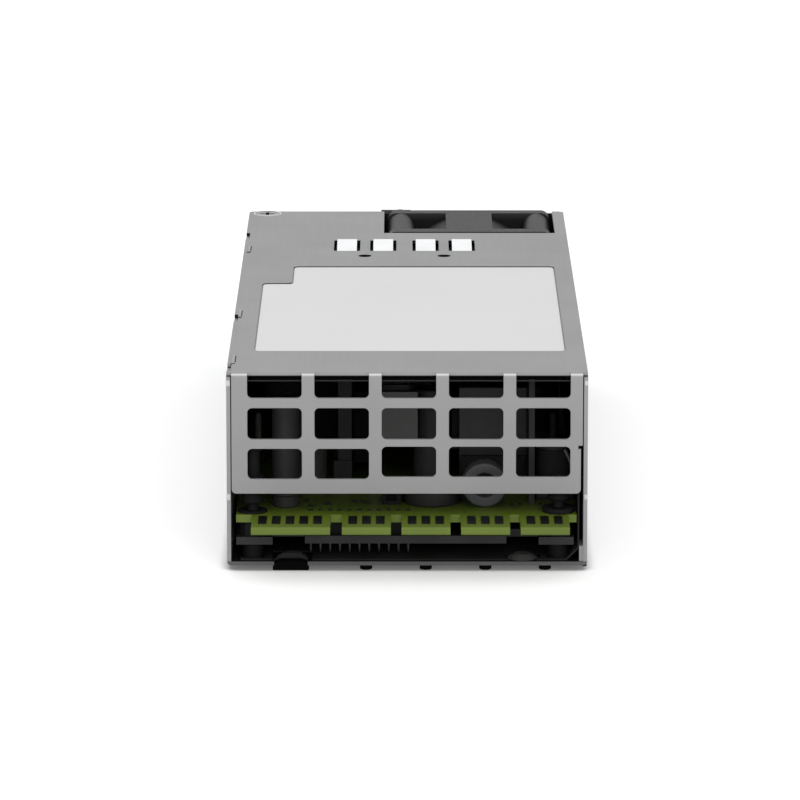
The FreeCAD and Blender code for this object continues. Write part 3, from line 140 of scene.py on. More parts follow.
class BoardSettings(bpy.types.PropertyGroup):
    """Colours of the circuit boards."""
    edge: bpy.props.FloatVectorProperty(
        name="Board", description="Laminate of the main board", subtype="COLOR",
        size=3, min=0, max=1, default=(0.106, 0.154, 0.010))
    # the solder mask's colour, which also stands in for the shade under the grille
    mask: bpy.props.FloatVectorProperty(
        name="Solder mask", description="Main board behind its tabs", subtype="COLOR",
        size=3, min=0, max=1, default=(0.052, 0.075, 0.009))
    lower: bpy.props.FloatVectorProperty(
        name="Lower board", description="Laminate of the lower board", subtype="COLOR",
        size=3, min=0, max=1, default=(0.009, 0.0095, 0.009))
    contact: bpy.props.FloatVectorProperty(
        name="Contact", description="Edge contacts", subtype="COLOR",
        size=3, min=0, max=1, default=(0.055, 0.055, 0.05))


class PlasticSettings(bpy.types.PropertyGroup):
    """Colours of the moulded parts and the label."""
    black: bpy.props.FloatVectorProperty(
        name="Black", description="Moulded black parts", subtype="COLOR",
        size=3, min=0, max=1, default=(0.018, 0.018, 0.018))
    fan: bpy.props.FloatVectorProperty(
        name="Fan", description="Fan frame and rotor", subtype="COLOR",
        size=3, min=0, max=1, default=(0.036, 0.036, 0.036))
    thumb: bpy.props.FloatVectorProperty(
        name="Thumb pad", description="Touch point of the latch", subtype="COLOR",
        size=3, min=0, max=1, default=(0.02, 0.20, 0.07))
    label: bpy.props.FloatVectorProperty(
        name="Label", description="Bare label on the cover", subtype="COLOR",
        size=3, min=0, max=1, default=(0.73, 0.73, 0.73))


class StageSettings(bpy.types.PropertyGroup):
    """Floor, light and camera."""
    floor: bpy.props.FloatVectorProperty(
        name="Floor", description="Colour of the floor", subtype="COLOR",
        size=3, min=0, max=1, default=(0.9, 0.9, 0.9))
    lift: bpy.props.FloatProperty(
        name="Floor lift", description="Extra brightness of the floor in the view", min=0,
        max=1, default=0.32)
    shade: bpy.props.FloatProperty(
        name="Contact shade", description="Reach of the shade where the case meets the floor",
        min=0, max=0.1, default=0.004, unit="LENGTH", precision=4)
    sky: bpy.props.FloatProperty(
        name="Sky", description="Strength of the even light from all round", min=0, max=4,
        default=0.75)
    key: bpy.props.FloatProperty(
        name="Key light", description="Power of the large light above the card edge",
        min=0, max=100, default=6, unit="POWER")
    distance: bpy.props.FloatProperty(
        name="Distance", description="Camera to the middle of the case", min=0.2, max=5,
        default=1.251, unit="LENGTH", precision=3)
    elevation: bpy.props.FloatProperty(
        name="Elevation", description="Camera above the horizon", min=-1.5, max=1.5,
        default=math.radians(12.128), subtype="ANGLE")
    lens: bpy.props.FloatProperty(
        name="Lens", description="Focal length", min=10, max=500, default=256.3,
        unit="CAMERA")


GROUPS = (
    ("supply_metal", MetalSettings), ("supply_boards", BoardSettings),
    ("supply_plastic", PlasticSettings), ("supply_stage", StageSettings),
)


# ---------------------------------------------------------------- material helpers

def new_material(name):
    """A material with its node tree and its Principled shader."""
    material = bpy.data.materials.new(name)
    material.use_nodes = True
    tree = material.node_tree
    return material, tree, tree.nodes["Principled BSDF"]


def add_node(tree, kind, source=None, **inputs):
    """A shader node: its first socket takes a source, and others take values by name."""
    node = tree.nodes.new("ShaderNode" + kind)
    if source is not None:
        tree.links.new(source, node.inputs[0])
    for name, value in inputs.items():
        node.inputs[name].default_value = value
    return node


def map_range(tree, value, low, high, start=0.0, end=1.0):
    """A value carried from one range to another and held at its ends."""
    remap = add_node(tree, "MapRange", value)
    for name, number in (("From Min", low), ("From Max", high),
                         ("To Min", start), ("To Max", end)):
        remap.inputs[name].default_value = number
    return remap.outputs["Result"]


def noise_in_place(tree, scale, detail, stretch=(1, 1, 1)):
    """Noise in the object's own space, so it is the same from every side."""
    place = add_node(tree, "TexCoord")
    mapping = add_node(tree, "Mapping", place.outputs["Object"], Scale=stretch)
    noise = add_node(tree, "TexNoise", mapping.outputs["Vector"], Scale=scale, Detail=detail)
    return noise.outputs["Fac"]


def scaled(colour, factor):
    """A share of a colour, at most white."""
    return tuple(min(1.0, part * factor) for part in colour)


def cloudy(tree, factor, colour, less, more):
    """A colour that drifts between a darker and a lighter share of itself."""
    ramp = add_node(tree, "ValToRGB", factor)
    for index, position, share in ((0, 0.3, less), (1, 0.7, more)):
        ramp.color_ramp.elements[index].position = position
        ramp.color_ramp.elements[index].color = (*scaled(colour, share), 1)
    return ramp.outputs["Color"]


def placed(tree, place, low, high, axis="Z"):
    """0 to 1 as a point goes from one case height or depth to another, in millimetres."""
    axes = add_node(tree, "SeparateXYZ", place.outputs["Object"])
    index = "XYZ".index(axis)
    return map_range(tree, axes.outputs[axis], at(low, low, low)[index],
                     at(high, high, high)[index])


def facing(tree, place, direction, low, high):
    """0 to 1 as the surface turns towards a direction of the case."""
    dot = add_node(tree, "VectorMath", place.outputs["Normal"])
    dot.operation = "DOT_PRODUCT"
    dot.inputs[1].default_value = Vector(direction).normalized()
    return map_range(tree, dot.outputs["Value"], low, high)


def both(tree, first, second, operation="MULTIPLY"):
    """Two factors at once, or the greater of them with MAXIMUM."""
    joined = add_node(tree, "Math", first)
    joined.operation = operation
    tree.links.new(second, joined.inputs[1])
    return joined.outputs["Value"]


def tinted(tree, colour, factor, tint):
    """Turn a colour into a tint as a factor goes from 0 to 1."""
    mix = tree.nodes.new("ShaderNodeMix")
    mix.data_type = "RGBA"
    tree.links.new(factor, mix.inputs["Factor"])
    tree.links.new(colour, mix.inputs["A"])
    mix.inputs["B"].default_value = (*tint, 1)
    return mix.outputs["Result"]


def dress(tree, shader, colour, marks, rough, strength, depth, relief=None):
    """Give a shader its colour, a roughness from its marks and a bump from them or a relief."""
    tree.links.new(colour, shader.inputs["Base Color"])
    tree.links.new(map_range(tree, marks, 0, 1, *rough), shader.inputs["Roughness"])
    bump = add_node(tree, "Bump", Strength=strength, Distance=depth)
    tree.links.new(marks if relief is None else relief, bump.inputs["Height"])
    tree.links.new(bump.outputs["Normal"], shader.inputs["Normal"])


def rolled_sheet(name, colour, grain):
    """Sheet metal: rolling grain and cloudy plating, with a painted highlight on the front bend
    and painted shade on the tray's low front edge, domes and inside and on hidden cut faces.
    """
    material, tree, shader = new_material(name)
    clouds = noise_in_place(tree, 45, 3)
    streaks = noise_in_place(tree, 900, 4, (1, 0.05, 1))
    place = add_node(tree, "TexCoord")
    upward = facing(tree, place, (0, 0, 1), 0.1, 0.3)
    forward = facing(tree, place, (0, -1, 0), 0.9, 0.98)
    set_back = both(tree, forward, placed(tree, place, 0.75, 0.85, "Y"))
    # painted highlight: faces on the front bend, turned up and forward, get 2.1 times the
    # sheet's colour
    bend = both(tree, facing(tree, place, (0, -1, 1.1), 0.93, 0.985),
                placed(tree, place, 38.3, 38.6))
    # painted shade: the tray's low front edge, its domes and the low faces behind the front,
    # the tray's inside, and the cut faces under the cover's top and towards the rear are
    # darkened
    lower_edge_shade = both(tree, forward, placed(tree, place, 0.9, 0.8))
    dome = both(tree, upward, placed(tree, place, 4, 3.6))
    dome_front_shade = both(tree, set_back, placed(tree, place, 4.2, 4))
    inside = both(tree, upward, placed(tree, place, 0.95, 0.85))
    upper_cut_shade = both(tree, both(tree, set_back, placed(tree, place, 4, 4.2)),
                      placed(tree, place, 39.46, 39.42))
    rear_cut_shade = both(tree, facing(tree, place, (0, -1, 0), 0.2, 0.4),
                     placed(tree, place, 20, 21, "Y"))
    # the plated tone, with the painted highlight and the painted shades laid over it
    plated = cloudy(tree, clouds, colour, 0.96, 1.04)
    for area, share in ((bend, 2.1), (lower_edge_shade, 0.4), (dome, 0.28), (dome_front_shade, 0.11),
                        (inside, 0.03), (upper_cut_shade, 0.03), (rear_cut_shade, 0.03)):
        plated = tinted(tree, plated, area, scaled(colour, share))
    dress(tree, shader, plated, streaks, (0.5, 0.62), grain, 0.00002)
    shader.inputs["Metallic"].default_value = 0.3
    shader.inputs["Specular IOR Level"].default_value = 0.1
    return material


def moulded(name, colour, rough=(0.42, 0.6), texture=1400, depth=0.00003, strength=0.35,
            gloss=0.5, cloud=0.12, dark_below=None):
    """Moulded plastic: spark texture, faint flow marks, dark below a height if one is given."""
    material, tree, shader = new_material(name)
    tone = cloudy(tree, noise_in_place(tree, 30, 2), colour, 1 - cloud, 1 + cloud)
    if dark_below:
        place = add_node(tree, "TexCoord")
        tone = tinted(tree, tone, placed(tree, place, dark_below, dark_below - 1.6),
                      scaled(colour, 0.2))
    dress(tree, shader, tone, noise_in_place(tree, texture, 5), rough, strength, depth)
    shader.inputs["Specular IOR Level"].default_value = gloss
    return material


def laminate(name, colour, mask=None):
    """Glass-fibre board: woven fibres, cloudy resin, a darker solder mask behind the tabs that
    fades in as painted shade, and painted shade on front faces further in.
    """
    material, tree, shader = new_material(name)
    place = add_node(tree, "TexCoord")
    weave = []
    for axis in ("X", "Y"):
        wave = add_node(tree, "TexWave", place.outputs["Object"], Scale=900, Distortion=0.6)
        wave.bands_direction = axis
        weave.append(wave.outputs["Fac"])
    clouds = noise_in_place(tree, 60, 3)
    resin = cloudy(tree, clouds, colour, 0.9, 1.1)
    if mask:
        # the solder mask behind the bare tabs, faded in from 2.5 to 12 mm deep as painted shade
        # under the grille
        resin = tinted(tree, resin, placed(tree, place, 2.5, 12, "Y"), mask)
    # painted shade: front faces more than 3 mm behind the front are darkened
    set_back = both(tree, facing(tree, place, (0, -1, 0), 0.9, 0.98),
                    placed(tree, place, 2.5, 3, "Y"))
    resin = tinted(tree, resin, set_back, scaled(colour, 0.15))
    dress(tree, shader, resin, clouds, (0.4, 0.55), 0.2, 0.00002, both(tree, *weave))
    return material


def smooth_metal(name, colour, rough, scale=250, dark_below=None):
    """Turned or plated metal with faint handling marks, and painted shade below a height if one
    is given.
    """
    material, tree, shader = new_material(name)
    marks = noise_in_place(tree, scale, 5)
    tone = cloudy(tree, marks, colour, 0.96, 1.03)
    if dark_below:
        place = add_node(tree, "TexCoord")
        # painted shade: nearly black below the given height
        tone = tinted(tree, tone, placed(tree, place, dark_below + 0.1, dark_below),
                      scaled(colour, 0.01))
    dress(tree, shader, tone, marks, rough, 0.1, 0.00001)
    shader.inputs["Metallic"].default_value = 1.0
    return material


def lens_plastic(name, colour):
    """Clear tinted plastic of a light pipe."""
    material, tree, shader = new_material(name)
    tree.links.new(cloudy(tree, noise_in_place(tree, 300, 2), colour, 0.92, 1),
                   shader.inputs["Base Color"])
    for socket, value in (("Roughness", 0.12), ("Transmission Weight", 0.6), ("IOR", 1.49)):
        shader.inputs[socket].default_value = value
    return material


def finish(material, *names):
    """Give CAD nodes a finish."""
    for name in names:
        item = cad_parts[name]
        if not item.data.materials:
            item.data.materials.append(material)
        for material_slot in item.material_slots:
            material_slot.material = material


# ---------------------------------------------------------------- mesh helpers

def added(name, data):
    """A new object in the scene."""
    item = bpy.data.objects.new(name, data)
    bpy.context.scene.collection.objects.link(item)
    return item


def piece_from(name, mesh, material, body=CASE, recess=None):
    """Turn a bmesh into a piece of the object that rides on a body, if one is given."""
    bmesh.ops.recalc_face_normals(mesh, faces=mesh.faces)
    data = bpy.data.meshes.new(name)
    mesh.to_mesh(data)
    mesh.free()
    data.materials.append(material)
    if recess:
        data.materials.append(recess)
    for face in data.polygons:
        face.use_smooth = True
    data.set_sharp_from_angle(angle=SHARP)
    item = added(name, data)
    if body:
        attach(item, body)
    return item


# turns the Z axis of a turned piece to the named axis
TURN = {
    "Z": Matrix.Identity(3),
    "X": Matrix(((0, 0, 1), (0, 1, 0), (-1, 0, 0))),
    "-X": Matrix(((0, 0, -1), (0, 1, 0), (1, 0, 0))),
    "Y": Matrix(((1, 0, 0), (0, 0, 1), (0, -1, 0))),
}


def lathe(mesh, profile, place, axis, sides, closed=False):
    """Turn a profile of (radius, height) pairs in millimetres about an axis."""
    turn = TURN[axis]
    rings = []
    for radius, height in profile:
        ring = []
        for i in range(sides if radius > 0 else 1):
            angle = 2 * math.pi * i / sides
            point = Vector((radius * math.cos(angle), radius * math.sin(angle), height))
            ring.append(mesh.verts.new(place + turn @ point * MM))
        rings.append(ring)
    if closed:
        rings.append(rings[0])
    join_rings(mesh, rings)


def join_rings(mesh, rings):
    """Faces between rings of points; a ring of one point is a tip."""
    for low, high in zip(rings, rings[1:]):
        for i in range(max(len(low), len(high))):
            corners = [low[i % len(low)], low[(i + 1) % len(low)],
                       high[(i + 1) % len(high)], high[i % len(high)]]
            corners = list(dict.fromkeys(corners))
            if len(corners) > 2:
                mesh.faces.new(corners)


def soften(mesh, verts, rounded, steps):
    """Round the edges of a closed form, in millimetres."""
    edges = list({edge for vert in verts for edge in vert.link_edges})
    bmesh.ops.bevel(mesh, geom=edges, offset=rounded * MM, segments=steps, affect="EDGES",
                    profile=0.5)


def block(mesh, low, high, rounded, steps=2):
    """A block between two corners in millimetres, with rounded edges."""
    made = bmesh.ops.create_cube(mesh, size=1)["verts"]
    first, last = at(*low), at(*high)
    middle, size = (first + last) / 2, last - first
    for vert in made:
        vert.co = middle + Vector([a * b for a, b in zip(vert.co, size)])
    soften(mesh, made, rounded, steps)


def slab(mesh, outline, near, far, rounded, steps=2):
    """A slab with an outline of (x, z) points between two depths, with rounded edges."""
    front = [mesh.verts.new(at(x, near, z)) for x, z in outline]
    back = [mesh.verts.new(at(x, far, z)) for x, z in outline]
    mesh.faces.new(front)
    mesh.faces.new(back[::-1])
    join_rings(mesh, (back, front))
    soften(mesh, front + back, rounded, steps)


def arc(centre, radius, start, end, steps=6):
    """Points of a rounded corner for a turned profile."""
    points = []
    for i in range(steps + 1):
        angle = math.radians(start + (end - start) * i / steps)
        points.append((centre[0] + radius * math.cos(angle),
                       centre[1] + radius * math.sin(angle)))
    return points


def tube(mesh, points, radius, sides=10):
    """A round wire through points, closed by flat ends."""
    rings = []
    for i, point in enumerate(points):
        along = (points[min(i + 1, len(points) - 1)] - points[max(i - 1, 0)]).normalized()
        side = along.cross(Vector((0.3, 0.2, 0.93))).normalized()
        up = side.cross(along)
        ring = []
        for k in range(sides):
            angle = 2 * math.pi * k / sides
            ring.append(mesh.verts.new(
                point + (side * math.cos(angle) + up * math.sin(angle)) * radius * MM))
        rings.append(ring)
    join_rings(mesh, rings)
    mesh.faces.new(rings[0])
    mesh.faces.new(rings[-1])


def cross_head(mesh, radius, high, place, axis, driver=0.62, sunk=False):
    """A screw head with a cross recess; its underside is at the place."""
    turn, sides = TURN[axis], 36
    arm, wide, deep = radius * driver, radius * 0.15, high * 0.55
    if sunk:
        outline = [(0, -high), (radius * 0.62, -high), (radius, -0.06), (radius, 0)]
        top = 0.0
    else:
        outline = [(0, 0), (radius, 0), (radius, high * 0.45)]
        outline += arc((radius - high * 0.5, high * 0.45), high * 0.5, 0, 80)
        top = outline[-1][1]
    lathe(mesh, outline, place, axis, sides)
    circle = list(mesh.verts)[-sides:]
    corners = []
    for quarter in range(4):
        spin = Matrix.Rotation(math.radians(90 * quarter), 3, "Z")
        for x, y in ((wide, wide), (arm, wide * 0.8), (arm, -wide * 0.8), (wide, -wide)):
            corners.append(spin @ Vector((x, y, 0)))
    order = []
    for quarter in range(4):
        order += [corners[4 * quarter + 2], corners[4 * quarter + 1], corners[4 * quarter]]
    mouth, foot = [], []
    for corner in order:
        mouth.append(mesh.verts.new(place + turn @ Vector((corner.x, corner.y, top)) * MM))
        inner = corner * 0.72
        foot.append(mesh.verts.new(place + turn @ Vector((inner.x, inner.y, top - deep)) * MM))
    count = len(order)
    edges = [mesh.edges.new((mouth[i], mouth[(i + 1) % count])) for i in range(count)]
    edges += [mesh.edges.get((circle[i], circle[(i + 1) % sides])) for i in range(sides)]
    bmesh.ops.triangle_fill(mesh, edges=edges, use_beauty=True)
    for i in range(count):
        j = (i + 1) % count
        mesh.faces.new((mouth[i], mouth[j], foot[j], foot[i])).material_index = 1
    mesh.faces.new(foot).material_index = 1


# ---------------------------------------------------------------- operators

class FinishSheetMetal(bpy.types.Operator):
    """Zinc-plated sheet on the case, bright springs and plain steel"""
    bl_idname = "supply.finish_sheet_metal"
    bl_label = "Finish Sheet Metal"

    def execute(self, context):
        metal = context.scene.supply_metal
        finish(rolled_sheet("zinc_sheet", metal.sheet, grain=metal.grain),
               "chassis_tray", "top_cover", "rear_panel", "latch_bracket")
        # the springs' bases under the cover get painted shade
        finish(smooth_metal("bright_spring", metal.spring, (0.1, 0.2), dark_below=39.5),
               "grounding_spring_left", "grounding_spring_right")
        finish(smooth_metal("spring_steel", scaled(metal.spring, 0.7), (0.2, 0.35)),
               "latch_lever")
        finish(smooth_metal("pin_metal", metal.screw, (0.3, 0.45)),
               "fan_shaft", "fan_bearing", "latch_pin")
        return {"FINISHED"}


class FinishBoards(bpy.types.Operator):
    """Laminate and contacts of the circuit boards"""
    bl_idname = "supply.finish_boards"
    bl_label = "Finish Boards"

    def execute(self, context):
        boards = context.scene.supply_boards
        finish(laminate("main_laminate", boards.edge, mask=tuple(boards.mask)), "main_board")
        finish(laminate("lower_laminate", boards.lower), "lower_board", "control_card",
               "inlet_card")
        finish(smooth_metal("contact_plating", boards.contact, (0.35, 0.5)), "edge_contacts",
               "inlet_blades")
        return {"FINISHED"}


class FinishMouldings(bpy.types.Operator):
    """Moulded parts, films and label"""
    bl_idname = "supply.finish_mouldings"
    bl_label = "Finish Mouldings"

    def execute(self, context):
        plastic = context.scene.supply_plastic
        finish(moulded("black_moulding", plastic.black), "mains_inlet", "handle")
        finish(moulded("black_package", scaled(plastic.black, 0.35), (0.5, 0.7), gloss=0.15),
               "header_strip", "board_spacers", "signal_socket", "rectifier_transistors",
               "capacitor_saddle", "primary_transistors", "bridge_rectifier", "inrush_relay",
               "control_chips")
        finish(moulded("black_film", scaled(plastic.black, 0.12), (0.7, 0.85), 300, gloss=0),
               "top_liner")
        finish(moulded("floor_film", scaled(plastic.black, 1.3), (0.7, 0.85), 300, gloss=0.1),
               "floor_liner")
        # painted shade: the fan frame darkens below the cover's top
        finish(moulded("fan_moulding", plastic.fan, gloss=0.15, dark_below=39.9), "fan_frame")
        finish(moulded("rotor_moulding", scaled(plastic.fan, 0.6), gloss=0.3), "fan_rotor")
        finish(moulded("thumb_moulding", plastic.thumb), "latch_pad")
        finish(moulded("label_film", plastic.label, (0.5, 0.62), 700, 0.00001, 0.15,
                       cloud=0.012),
               "label_blank")
        finish(lens_plastic("light_pipe", (0.75, 0.95, 0.78)), "status_lens")
        return {"FINISHED"}


class FinishComponents(bpy.types.Operator):
    """Cores, windings, capacitors and heatsinks inside the case"""
    bl_idname = "supply.finish_components"
    bl_label = "Finish Components"

    def execute(self, context):
        finish(moulded("ferrite_core", (0.055, 0.055, 0.06), (0.5, 0.7), 900),
               "boost_choke", "filter_chokes")
        finish(moulded("core_faces", (0.055, 0.055, 0.06), (0.5, 0.7), 900, dark_below=19),
               "transformer_core")
        finish(moulded("winding_tape", (0.008, 0.008, 0.009), (0.4, 0.55), 300, gloss=0.2),
               "transformer_winding")
        finish(moulded("film_capacitor", (0.35, 0.28, 0.05), (0.35, 0.5), 600),
               "filter_capacitors")
        finish(moulded("fuse_ceramic", (0.6, 0.57, 0.5), (0.3, 0.4), 500), "line_fuse")
        finish(moulded("black_anodised", (0.08, 0.08, 0.08), (0.45, 0.6), 900),
               "secondary_heatsink", "primary_heatsink", "bridge_heatsink")
        # near black, far darker than tin: painted shade on the bars inside the case
        finish(smooth_metal("tinned_bars_shaded", (0.03, 0.03, 0.031), (0.4, 0.55)),
               "output_bus_bars")
        finish(smooth_metal("winding_copper", (0.55, 0.27, 0.14), (0.3, 0.45)), "fan_stator")
        return {"FINISHED"}


class TurnCans(bpy.types.Operator):
    """Capacitor cans with a rolled groove, sleeve edge and vented top"""
    bl_idname = "supply.turn_cans"
    bl_label = "Turn Cans"

    def execute(self, context):
        sleeve = moulded("can_sleeve", (0.024, 0.024, 0.0245), (0.6, 0.72), 400, gloss=0.35)
        aluminium = smooth_metal("can_top", (0.2, 0.2, 0.205), (0.35, 0.5))
        cans, tops = bmesh.new(), bmesh.new()
        for x, y, radius, low, high in SMALL_CANS:
            self.can(cans, tops, at(x, y, low), "Z", radius, high - low)
        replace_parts(piece_from("output_can_sleeves", cans, sleeve),
                    "output_capacitors")
        piece_from("output_can_tops", tops, aluminium)
        bulk, bulk_top = bmesh.new(), bmesh.new()
        low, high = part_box("bulk_capacitor")
        middle = (low + high) / 2
        self.can(bulk, bulk_top, Vector((middle.x, low.y, middle.z)), "Y",
                 (high.z - low.z) / 2 / MM, (high.y - low.y) / MM)
        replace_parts(piece_from("bulk_can_sleeve", bulk, sleeve),
                    "bulk_capacitor")
        piece_from("bulk_can_top", bulk_top, aluminium)
        return {"FINISHED"}

    def can(self, cans, tops, place, axis, radius, high):
        """A sleeve with a groove near its foot, and the scored top that it leaves bare."""
        groove = min(2.2, high * 0.2)
        edge = radius * 0.12
        profile = [(0, 0), (radius - edge, 0)]
        profile += arc((radius - edge, edge), edge, -90, 0)
        profile += [(radius, groove - 0.35), (radius - 0.25, groove),
                    (radius, groove + 0.35), (radius, high - edge)]
        profile += arc((radius - edge, high - edge), edge, 0, 90)
        profile += [(radius * 0.8, high), (radius * 0.79, high - 0.15)]
        lathe(cans, profile, place, axis, 48)
        scores = [(radius * 0.79, high - 0.15), (radius * 0.3, high - 0.12),
                  (radius * 0.28, high - 0.2), (radius * 0.24, high - 0.2),
                  (radius * 0.22, high - 0.12), (0, high - 0.12)]
        lathe(tops, scores, place, axis, 48)


class WindCores(bpy.types.Operator):
    """Rounded current ring, sleeved output choke and low filter coil"""
    bl_idname = "supply.wind_cores"
    bl_label = "Wind Cores"

    def execute(self, context):
        coated = moulded("coated_ring", (0.052, 0.052, 0.056), (0.45, 0.6), 700)
        low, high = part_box("current_ring")
        middle = (low + high) / 2
        ring, outer, deep = bmesh.new(), (high.x - low.x) / 2 / MM, (high.y - low.y) / MM
        inner = outer * 0.54
        profile = arc((outer - 0.45, 0.45), 0.45, -90, 0)
        profile += arc((outer - 0.45, deep - 0.45), 0.45, 0, 90)
        profile += arc((inner + 0.4, deep - 0.4), 0.4, 90, 180)
        profile += arc((inner + 0.4, 0.4), 0.4, 180, 270)
        lathe(ring, profile, Vector((middle.x, low.y, middle.z)), "Y", 64, closed=True)
        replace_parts(piece_from("current_ring_coated", ring, coated), "current_ring")
        self.choke()
        self.coil()
        return {"FINISHED"}

    def choke(self):
        """A sleeved winding between two ferrite flanges on a moulded base."""
        low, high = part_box("output_choke")
        sleeving = moulded("shrink_sleeve", (0.021, 0.021, 0.021), (0.7, 0.85), 500, gloss=0.15)
        core = moulded("drum_ferrite", (0.03, 0.03, 0.032), (0.5, 0.65), 900)
        x, y = (low.x + high.x) / 2, low.y + 5.5 * MM
        base, drum, turns, glint_leads = [bmesh.new() for _ in range(4)]
        rise = (high.z - low.z) / MM
        place = Vector((x, y, low.z))
        flange = [(0, 0.0), (3.7, 0.0), (3.9, 0.2), (3.9, 1.0), (3.7, 1.2), (0, 1.2)]
        lathe(drum, flange, place + Vector((0, 0, 2.4 * MM)), "Z", 48)
        lathe(drum, flange, place + Vector((0, 0, (rise - 1.2) * MM)), "Z", 48)
        sleeve = [(3.2, 3.55), (3.45, 3.6), (3.62, 4.1), (3.66, rise / 2 + 1),
                  (3.62, rise - 1.7), (3.45, rise - 1.25), (3.2, rise - 1.2)]
        lathe(turns, sleeve, place, "Z", 56)
        # a lead wire over the choke's top, shaped and lightened to paint the glint on the
        # choke's upper edge
        bends = ((2.1, -2.9, rise - 1.15), (2.75, -3.3, rise - 2.3), (3.2, -3.5, rise - 3.6),
                 (3.45, -3.55, rise - 5.4), (3.5, -3.5, 2.3))
        tube(glint_leads, [place + Vector(bend) * MM for bend in bends], 0.42)
        piece_from("choke_glint_lead", glint_leads, smooth_metal("glint_tin", (0.18, 0.18, 0.18),
                                                     (0.4, 0.5)))
        first, last = case_box("output_choke")
        block(base, first, (last.x, last.y, first.z + 2.4), 0.3)
        piece = piece_from("choke_base", base,
                           moulded("choke_moulding", (0.02, 0.02, 0.03), (0.4, 0.55)))
        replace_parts(piece, "output_choke")
        piece_from("choke_drum", drum, core)
        piece_from("choke_sleeve", turns, sleeving)

    def coil(self):
        """The low round coil at the front: shielded can with a dished top."""
        low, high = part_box("filter_capacitor")
        radius, rise = (high.x - low.x) / 2 / MM, (high.z - low.z) / MM
        shell = bmesh.new()
        profile = [(0, 0), (radius - 0.4, 0)] + arc((radius - 0.4, 0.4), 0.4, -90, 0)
        profile += arc((radius - 0.6, rise - 0.6), 0.6, 0, 90)
        profile += [(radius * 0.72, rise), (radius * 0.68, rise - 0.35), (0, rise - 0.35)]
        lathe(shell, profile, Vector(((low.x + high.x) / 2, (low.y + high.y) / 2, low.z)),
              "Z", 64)
        sleeve = moulded("shell_sleeve", (0.016, 0.016, 0.016), (0.4, 0.5), 500, gloss=0.3)
        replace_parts(piece_from("filter_shell", shell, sleeve),
                    "filter_capacitor")


class TurnPosts(bpy.types.Operator):
    """Stepped posts, washers and standoffs with rounded edges"""
    bl_idname = "supply.turn_posts"
    bl_label = "Turn Posts"

    def execute(self, context):
        black = moulded("post_black", context.scene.supply_metal.post, (0.6, 0.75), 600,
                        gloss=0.12)
        posts, washers, standoffs, studs = [bmesh.new() for _ in range(4)]
        top = BOARD_TOP
        low, high = case_box("board_washers")
        left, right, nut = 3.1, 3.35, 2.5
        front, rear = low.y + right, case_box("support_posts")[1].y - nut
        for x, radius, thick, stem in ((low.x + left, left, 0.4, 24.5),
                                       (high.x - right, right, 1.0, 0)):
            self.washer(washers, at(x, front, top), radius, thick)
            self.post(posts, at(x, front, 0), top + thick, top + 7.5, stem)
            for y in (front, rear):
                self.standoff(standoffs, at(x, y, 0))
            self.stud(posts, studs, at(x, rear, 0), top)
        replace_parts(piece_from("washers_turned", washers, black),
                    "board_washers")
        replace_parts(piece_from("posts_turned", posts, black), "support_posts")
        piece_from("studs_turned", studs, moulded("stud_steel", (0.14, 0.14, 0.14),
                                                  (0.5, 0.6), 600, gloss=0.5))
        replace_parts(piece_from("standoffs_turned", standoffs, black),
                    "lower_standoffs")
        return {"FINISHED"}

    def washer(self, mesh, place, radius, thick):
        """Flat washer with rounded rims."""
        edge = min(0.15, thick / 3)
        profile = [(1.3, 0), (radius - edge, 0)] + arc((radius - edge, edge), edge, -90, 0, 3)
        profile += arc((radius - edge, thick - edge), edge, 0, 90, 3)
        profile += [(2.2, thick), (1.3, thick - edge)]
        lathe(mesh, profile, place, "Z", 56, closed=True)

    def post(self, mesh, place, low, high, stem):
        """Stepped post that ends in a stem of its own or in an open bore."""
        profile = [(0, low), (1.15, low), (1.15, low + 1.6), (2.05, low + 1.65),
                   (2.25, low + 1.9), (2.25, high - 0.3), (1.95, high)]
        if stem:
            profile += [(1.5, high), (1.5, stem - 0.6)] + arc((0.9, stem - 0.6), 0.6, 0, 90)
            profile += [(0, stem)]
        else:
            profile += [(1.2, high), (1.1, high - 0.5), (0, high - 0.5)]
        lathe(mesh, profile, place, "Z", 40)

    def stud(self, nuts, studs, place, top):
        """Hexagonal nut with a thin stud that ends in a rounded tip."""
        lathe(nuts, [(0, top), (2.5, top), (2.5, top + 1.8), (2.2, top + 2), (0, top + 2)],
              place, "Z", 6)
        tip = top + 10.3
        profile = [(0.72, top + 1.9), (0.72, top + 7.0), (0.6, top + 7.1), (0.72, top + 7.25),
                   (0.72, tip - 0.7)] + arc((0.0, tip - 0.7), 0.7, 0, 90)
        lathe(studs, profile[:-1] + [(0, tip)], place, "Z", 20)

    def standoff(self, mesh, place):
        """Round standoff under the lower board."""
        low = case_box("lower_standoffs")[0].z
        profile = [(0, low), (1.9, low), (2.05, low + 0.2), (2.05, LOWER_LOW - 0.2),
                   (1.9, LOWER_LOW), (0, LOWER_LOW)]
        lathe(mesh, profile, place, "Z", 40)


